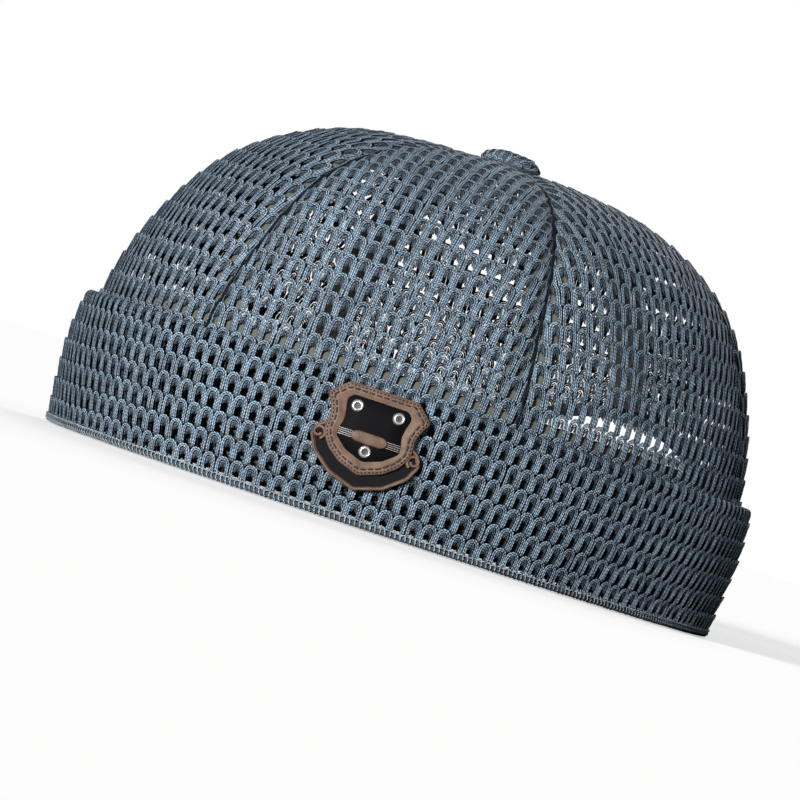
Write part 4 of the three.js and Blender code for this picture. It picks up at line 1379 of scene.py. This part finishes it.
def sewing_tree():
    """Geometry nodes that lay one stitch after another along a line, turned to lie on its surface."""
    tree = bpy.data.node_groups.new("stitches_along_line", "GeometryNodeTree")
    sockets = tree.interface
    sockets.new_socket("Line", in_out="INPUT", socket_type="NodeSocketGeometry")
    inputs = {}
    for label, kind in (
        ("Stitch", "Object"), ("Pitch", "Float"), ("Turning", "Float"), ("Seed", "Int"),
        ("Thread", "Material"),
    ):
        item = sockets.new_socket(label, in_out="INPUT", socket_type=f"NodeSocket{kind}")
        inputs[label] = item.identifier
    sockets.new_socket("Stitches", in_out="OUTPUT", socket_type="NodeSocketGeometry")
    given = add(tree, "NodeGroupInput").outputs
    curve = add(tree, "GeometryNodeMeshToCurve", {0: given["Line"]})
    spaced = add(tree, "GeometryNodeResampleCurve", {
        0: curve.outputs[0], "Length": given["Pitch"],
    }, mode="LENGTH")
    tangent = add(tree, "GeometryNodeInputTangent")
    outward = add(tree, "GeometryNodeInputNamedAttribute", {"Name": "outward"}, data_type="FLOAT_VECTOR")
    along = add(tree, "FunctionNodeAlignRotationToVector", {"Vector": tangent.outputs[0]}, axis="X")
    upright = add(tree, "FunctionNodeAlignRotationToVector", {
        "Rotation": along.outputs[0], "Vector": outward.outputs[0],
    }, axis="Z", pivot_axis="X")
    least, most = [
        add(tree, "ShaderNodeVectorMath", {0: (0.0, 0.0, way), "Scale": given["Turning"]}, operation="SCALE")
        for way in (-1.0, 1.0)
    ]
    swing = add(tree, "FunctionNodeRandomValue", {
        "Min": least.outputs[0], "Max": most.outputs[0], "Seed": given["Seed"],
    }, data_type="FLOAT_VECTOR")
    turned = add(tree, "FunctionNodeRotateRotation", {0: upright.outputs[0], 1: swing.outputs[0]},
                 rotation_space="LOCAL")
    girth = add(tree, "FunctionNodeRandomValue", {
        "Min": (0.9, 0.9, 0.9), "Max": (1.08, 1.08, 1.08), "Seed": given["Seed"],
    }, data_type="FLOAT_VECTOR")
    stitch = add(tree, "GeometryNodeObjectInfo", {"Object": given["Stitch"]})
    laid = add(tree, "GeometryNodeInstanceOnPoints", {
        "Points": spaced.outputs[0], "Instance": stitch.outputs["Geometry"], "Rotation": turned.outputs[0],
        "Scale": girth.outputs[0],
    })
    real = add(tree, "GeometryNodeRealizeInstances", {0: laid.outputs[0]})
    dyed = add(tree, "GeometryNodeSetMaterial", {0: real.outputs[0], "Material": given["Thread"]})
    result = add(tree, "NodeGroupOutput")
    tree.links.new(dyed.outputs[0], result.inputs[0])
    return tree, inputs


SEWING_TREE, SEWING_INPUTS = sewing_tree()


def sew(name, lines, stitch, pitch, thread, seed, turning=0.05):
    """Sews stitches along lines, each given by its points, the way out of its cloth and if it is closed."""
    mesh = bpy.data.meshes.new(name)
    points, outwards, edges = [], [], []
    for line, outward, closed in lines:
        start, count = len(points), len(line)
        points += [tuple(point) for point in line]
        outwards += [tuple(way) for way in outward]
        edges += [(start + k, start + k + 1) for k in range(count - 1)]
        if closed:
            edges.append((start + count - 1, start))
    mesh.from_pydata(points, edges, [])
    attribute = mesh.attributes.new("outward", "FLOAT_VECTOR", "POINT")
    attribute.data.foreach_set("vector", np.array(outwards, float).ravel())
    made = bpy.data.objects.new(name, mesh)
    scene.collection.objects.link(made)
    modifier = made.modifiers.new("sew", "NODES")
    modifier.node_group = SEWING_TREE
    for label, value in (
        ("Stitch", stitch), ("Pitch", pitch), ("Turning", turning), ("Seed", seed), ("Thread", thread),
    ):
        modifier[SEWING_INPUTS[label]] = value
    sewn = bpy.data.meshes.new_from_object(made.evaluated_get(bpy.context.evaluated_depsgraph_get()))
    made.modifiers.remove(modifier)
    made.data = sewn
    sewn.name = name
    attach(made, "root")
    return made


def thread_stitch(name, path, thickness, sides=3):
    """A stitch to lay: a short thread along a path in mm, x along the seam and z out of the cloth."""
    builder = bmesh.new()
    strand(builder, np.array(path) * MM, thickness * MM, sides, 0.0)
    return built(name, builder)


def level_line(turns, height, out, facing=1.0):
    """A level line on the wall, and the way out of it, or into it."""
    points = wall_point(turns, height, out)
    return points, facing * unit(wall_point(turns, height, out + MM) - points)


THREAD = plain_finish("pale_thread", (0.36, 0.42, 0.46), Roughness=0.6)
DARK_THREAD = plain_finish("dark_thread", (0.016, 0.015, 0.017), Roughness=0.6)
# The hem thread, as a lit colour and a painted shade colour
HEM_THREAD = yarn_finish("hem_thread", (0.62, 0.72, 0.80, 1.0), (0.10, 0.13, 0.155, 1.0))
LONG_STITCH = thread_stitch("long_stitch", (
    (-1.1, 0.0, -0.3), (-0.95, 0.0, 0.0), (-0.4, 0.0, 0.12), (0.4, 0.0, 0.12), (0.95, 0.0, 0.0),
    (1.1, 0.0, -0.3),
), 0.34)
LONG_PITCH = 3.2 * MM

row_turns = np.linspace(-BAND_END + 0.8, BAND_END - 0.8, 400)
row_out = BAND_FACE - BAND_WALL - band_inset(row_turns) + 0.24 * MM
band_lines = [(*level_line(row_turns, row, row_out, facing=-1.0), False) for row in BAND_ROWS]
band_stitches = sew("band_stitches", band_lines, LONG_STITCH, LONG_PITCH, THREAD, 41)
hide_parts("sweatband")

tape_lines = []
for seam in PANEL_SEAMS[:-1]:
    foot = ARCH_TOP + 4.0 * MM if seam == BACK_SEAM else BAND_TOP + 2.0 * MM
    climbs = np.linspace(climb_at(foot), climb_at(CROWN_HEIGHT * 0.955), 80)
    half = tape_half(seam, climbs) - 1.5 * MM
    radius, height = outline_at(climbs)
    dip = seam_dip(half, height * CROWN_HEIGHT, radius)
    sunk = TAPE_DEPTH + TAPE_WALL + TAPE_DIP * dip - 0.02 * MM
    for side in (-1.0, 1.0):
        turns = seam + side * half / degree_round(seam, climbs)
        outward = crown_outward(turns, climbs)
        tape_lines.append((crown_skin(turns, climbs) - outward * sunk[..., None], -outward, False))
tape_stitches = sew("tape_stitches", tape_lines, LONG_STITCH, LONG_PITCH, THREAD, 42)
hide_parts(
    "seam_tape_1", "seam_tape_2", "seam_tape_3", "seam_tape_4", "seam_tape_5", "seam_tape_6",
)

SMALL_STITCH = thread_stitch("small_stitch", (
    (-0.75, 0.0, -0.25), (-0.6, 0.0, 0.0), (0.0, 0.0, 0.08), (0.6, 0.0, 0.0), (0.75, 0.0, -0.25),
), 0.28)
binding_line = along_binding(0.45, 0.62 * MM)
binding_outward = unit(along_binding(0.45, 1.62 * MM) - binding_line)
binding_stitches = sew(
    "binding_stitches", [(binding_line, binding_outward, False)], SMALL_STITCH, 2.1 * MM, DARK_THREAD, 43,
)
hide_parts("arch_binding")

HEM_PITCH = 1.35 * MM
HEM_FACE = CUFF_OUTER - 0.55 * MM
CHAIN_PITCH = 1.6 * MM
HEM_LOOP = thread_stitch("hem_loop", (
    (-0.55, 1.9, -0.35), (-0.45, 1.2, 0.12), (-0.30, 0.2, 0.30), (-0.05, -0.42, -0.25),
    (0.15, -0.58, -1.20), (0.35, -0.30, -2.20), (0.45, 0.40, -2.60),
), 0.46)
HEM_CHAIN = thread_stitch("hem_chain", (
    (-0.95, -0.15, 0.00), (-0.45, 0.20, 0.36), (0.30, 0.20, 0.36), (0.95, -0.15, 0.05),
), 0.40)
cuff_turns = np.linspace(-CUFF_END + 0.3, CUFF_END - 0.3, 500)
hem_line, hem_outward = level_line(cuff_turns, 0.85 * MM, HEM_FACE)
chain_line, chain_outward = level_line(cuff_turns, 1.9 * MM, HEM_FACE)
hem_loops = sew("hem_loops", [(hem_line, hem_outward, False)], HEM_LOOP, HEM_PITCH, HEM_THREAD, 44, 0.12)
hem_chain = sew(
    "hem_chain_thread", [(chain_line, chain_outward, False)], HEM_CHAIN, CHAIN_PITCH, HEM_THREAD, 45, 0.1,
)


def level_tube(name, turns, height, out, half_height, half_width, sides, material):
    """An oval tube level round the wall, in mm, such as a folded hem or a cord along the rim."""
    lines = [
        wall_point(turns, (height + half_height * math.sin(a)) * MM, (out + half_width * math.cos(a)) * MM)
        for a in np.linspace(0.0, 2 * math.pi, sides, endpoint=False)
    ]
    return closed_bar(name, np.stack(lines), material)


EDGE_CORD = plain_finish("edge_cord", (0.30, 0.215, 0.155), Roughness=0.8)
hem_fold = level_tube("hem_fold", cuff_turns, 1.05, 1.55, 0.75, 1.15, 12, CORE_CLOTH)
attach(hem_fold, "root")
edge_cord = level_tube("rim_edge_cord", cuff_turns, 0.75, -0.25, 0.5, 0.5, 8, EDGE_CORD)
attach(edge_cord, "root")
for made in (hem_loops, hem_chain, hem_fold, edge_cord):
    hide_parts("cuff")

# Between the cuff's ends and the arch, the crown's own edge is bound
for side, panel in ((1.0, 3), (-1.0, 4)):
    turns = side * np.linspace(CUFF_END - 1.0, BAND_END - 0.6, 60)
    back_hem = level_tube(f"back_hem_{panel}", turns, 4.0, -0.55, 1.7, 1.0, 12, BINDING_TAPE)
    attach(back_hem, "root")
    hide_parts(f"crown_panel_{panel}")


# Badge trimmings
# Dark sewing round the leather border, curled ends on the scroll, three domed rivets and a small
# crossbar of leather with fine grey lines beside it.

def flat_line(line, height):
    """A line on the flat badge bent to the cuff, and the way out of it."""
    places = np.column_stack([line, np.full(len(line), height)])
    points = on_cuff(places)
    return points, unit(on_cuff(places + (0.0, 0.0, MM)) - points)


BADGE_STITCH = thread_stitch("badge_stitch", (
    (-0.72, 0.0, -0.18), (-0.5, 0.0, 0.04), (0.0, 0.0, 0.08), (0.5, 0.0, 0.04), (0.72, 0.0, -0.18),
), 0.44)
BADGE_HOLE = thread_stitch("badge_hole", ((-0.22, 0.0, -0.05), (0.0, 0.0, 0.04), (0.22, 0.0, -0.05)), 0.38)
border = rounded(shield_outline, OUTLINE_STEP)
stitched, outward = flat_line(inset_line(border, 1.55 * MM), 2.34 * MM)
badge_stitches = sew("badge_stitches", [(stitched, outward, True)], BADGE_STITCH, 1.95 * MM, DARK_THREAD, 51)
punched, outward = flat_line(inset_line(border, 0.72 * MM), 2.40 * MM)
badge_holes = sew("badge_holes", [(punched, outward, True)], BADGE_HOLE, 0.98 * MM, DARK_THREAD, 52)
for made in (badge_stitches, badge_holes):
    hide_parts("badge_shield")


def bent_rod(builder, line, height, thickness, sides):
    """Adds a round cord on the flat badge, bent to the cuff, to a mesh."""
    points, outward = flat_line(np.asarray(line), height)
    travel = unit(np.gradient(points, axis=0))
    side = unit(np.cross(travel, outward))
    angles = [2 * math.pi * k / sides for k in range(sides)]
    rings = [
        [builder.verts.new(point + thickness / 2 * (math.cos(a) * right + math.sin(a) * up)) for a in angles]
        for point, right, up in zip(points, side, outward)
    ]
    for below, above in zip(rings, rings[1:]):
        for k in range(sides):
            after = (k + 1) % sides
            builder.faces.new((below[k], below[after], above[after], above[k]))
    builder.faces.new(rings[0][::-1])
    builder.faces.new(rings[-1])


def badge_piece(name, builder, material, node):
    """A small piece of the badge, in the place of a node, whose part it hides."""
    made = shaded(name, builder, material, crease=50.0)
    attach(made, "root")
    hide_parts(node)
    return made


curls = bmesh.new()
for side in (-1.0, 1.0):
    spiral = np.linspace(0.0, 1.0, 30)
    angle = math.pi * (1.35 - 2.3 * spiral)
    radius = (1.75 - 1.05 * spiral) * MM
    across = side * (0.86 * BADGE_HALF_WIDTH + radius * np.cos(angle))
    up = -0.12 * BADGE_HALF_HEIGHT + radius * np.sin(angle)
    bent_rod(curls, np.column_stack([across, up]), 1.7 * MM, 0.78 * MM, 8)
badge_piece("scroll_curls", curls, LEATHER, "badge_shield")

BAR_UP = 0.03 * BADGE_HALF_HEIGHT
BAR_HALF = 4.7 * MM
BAR_SHOULDER = 0.72 * BAR_HALF
bar_upper = [
    (-BAR_HALF, 0.6 * MM), (-BAR_SHOULDER, 1.45 * MM), (BAR_SHOULDER, 1.45 * MM), (BAR_HALF, 0.6 * MM),
]
bar_lower = [(x, -y) for x, y in bar_upper[::-1]]
bar_outline = np.array(bar_upper + bar_lower) + (0.0, BAR_UP)
bar = moulded("badge_crossbar", bar_outline, (
    (0.0, 2.4 * MM), (0.0, 2.95 * MM), (0.18 * MM, 3.2 * MM), (0.45 * MM, 3.28 * MM),
), LEATHER)
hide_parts("badge_bar")

grey_lines = bmesh.new()
for side in (-1.0, 1.0):
    across = side * np.linspace(4.3, 7.9, 8) * MM
    for step in (-0.75, -0.25, 0.25, 0.75):
        up = np.full(across.shape, BAR_UP + step * MM)
        bent_rod(grey_lines, np.column_stack([across, up]), 2.58 * MM, 0.22 * MM, 6)
GREY_LINE = plain_finish("grey_line", (0.30, 0.29, 0.27), Roughness=0.4, Metallic=0.3)
badge_piece("badge_bar_lines", grey_lines, GREY_LINE, "badge_plate")

STEEL = plain_finish("rivet_steel", (0.80, 0.80, 0.81), Roughness=0.28, Metallic=0.75)
# A dark disc at each rivet's middle, painted shade in its hollow
RIVET_HOLLOW_SHADE = plain_finish("rivet_hollow", (0.03, 0.03, 0.032), Roughness=0.5)
RIVET_PLACES = ((-0.37, 0.58), (0.37, 0.58), (0.0, -0.22))
RIVET_SEAT = 2.5
RIVET_SIDES = 28
RIVET_PROFILE = (
    (0.0, 0.16),
    (0.72, 0.20),
    (0.80, 0.58),
    (0.94, 0.84),
    (1.12, 0.90),
    (1.30, 0.80),
    (1.48, 0.48),
    (1.6, 0.0),
)
rivet_angles = [2 * math.pi * k / RIVET_SIDES for k in range(RIVET_SIDES)]
for number, (across, up) in enumerate(RIVET_PLACES):
    middle = np.array([across * BADGE_HALF_WIDTH, up * BADGE_HALF_HEIGHT, RIVET_SEAT * MM])
    rivet = bmesh.new()
    rings = []
    for radius, height in RIVET_PROFILE[1:]:
        steps = [(radius * math.cos(a), radius * math.sin(a), height) for a in rivet_angles]
        rings.append([rivet.verts.new(on_cuff(middle + np.array(step) * MM)) for step in steps])
    center = rivet.verts.new(on_cuff(middle + (0.0, 0.0, RIVET_PROFILE[0][1] * MM)))
    for k in range(RIVET_SIDES):
        after = (k + 1) % RIVET_SIDES
        rivet.faces.new((center, rings[0][k], rings[0][after])).material_index = 1
        for inner, outer in zip(rings, rings[1:]):
            rivet.faces.new((inner[k], outer[k], outer[after], inner[after]))
    rivet.faces.new(rings[-1][::-1])
    made = badge_piece(f"rivet_{number + 1}", rivet, STEEL, f"badge_rivet_{number + 1}")
    made.data.materials.append(RIVET_HOLLOW_SHADE)
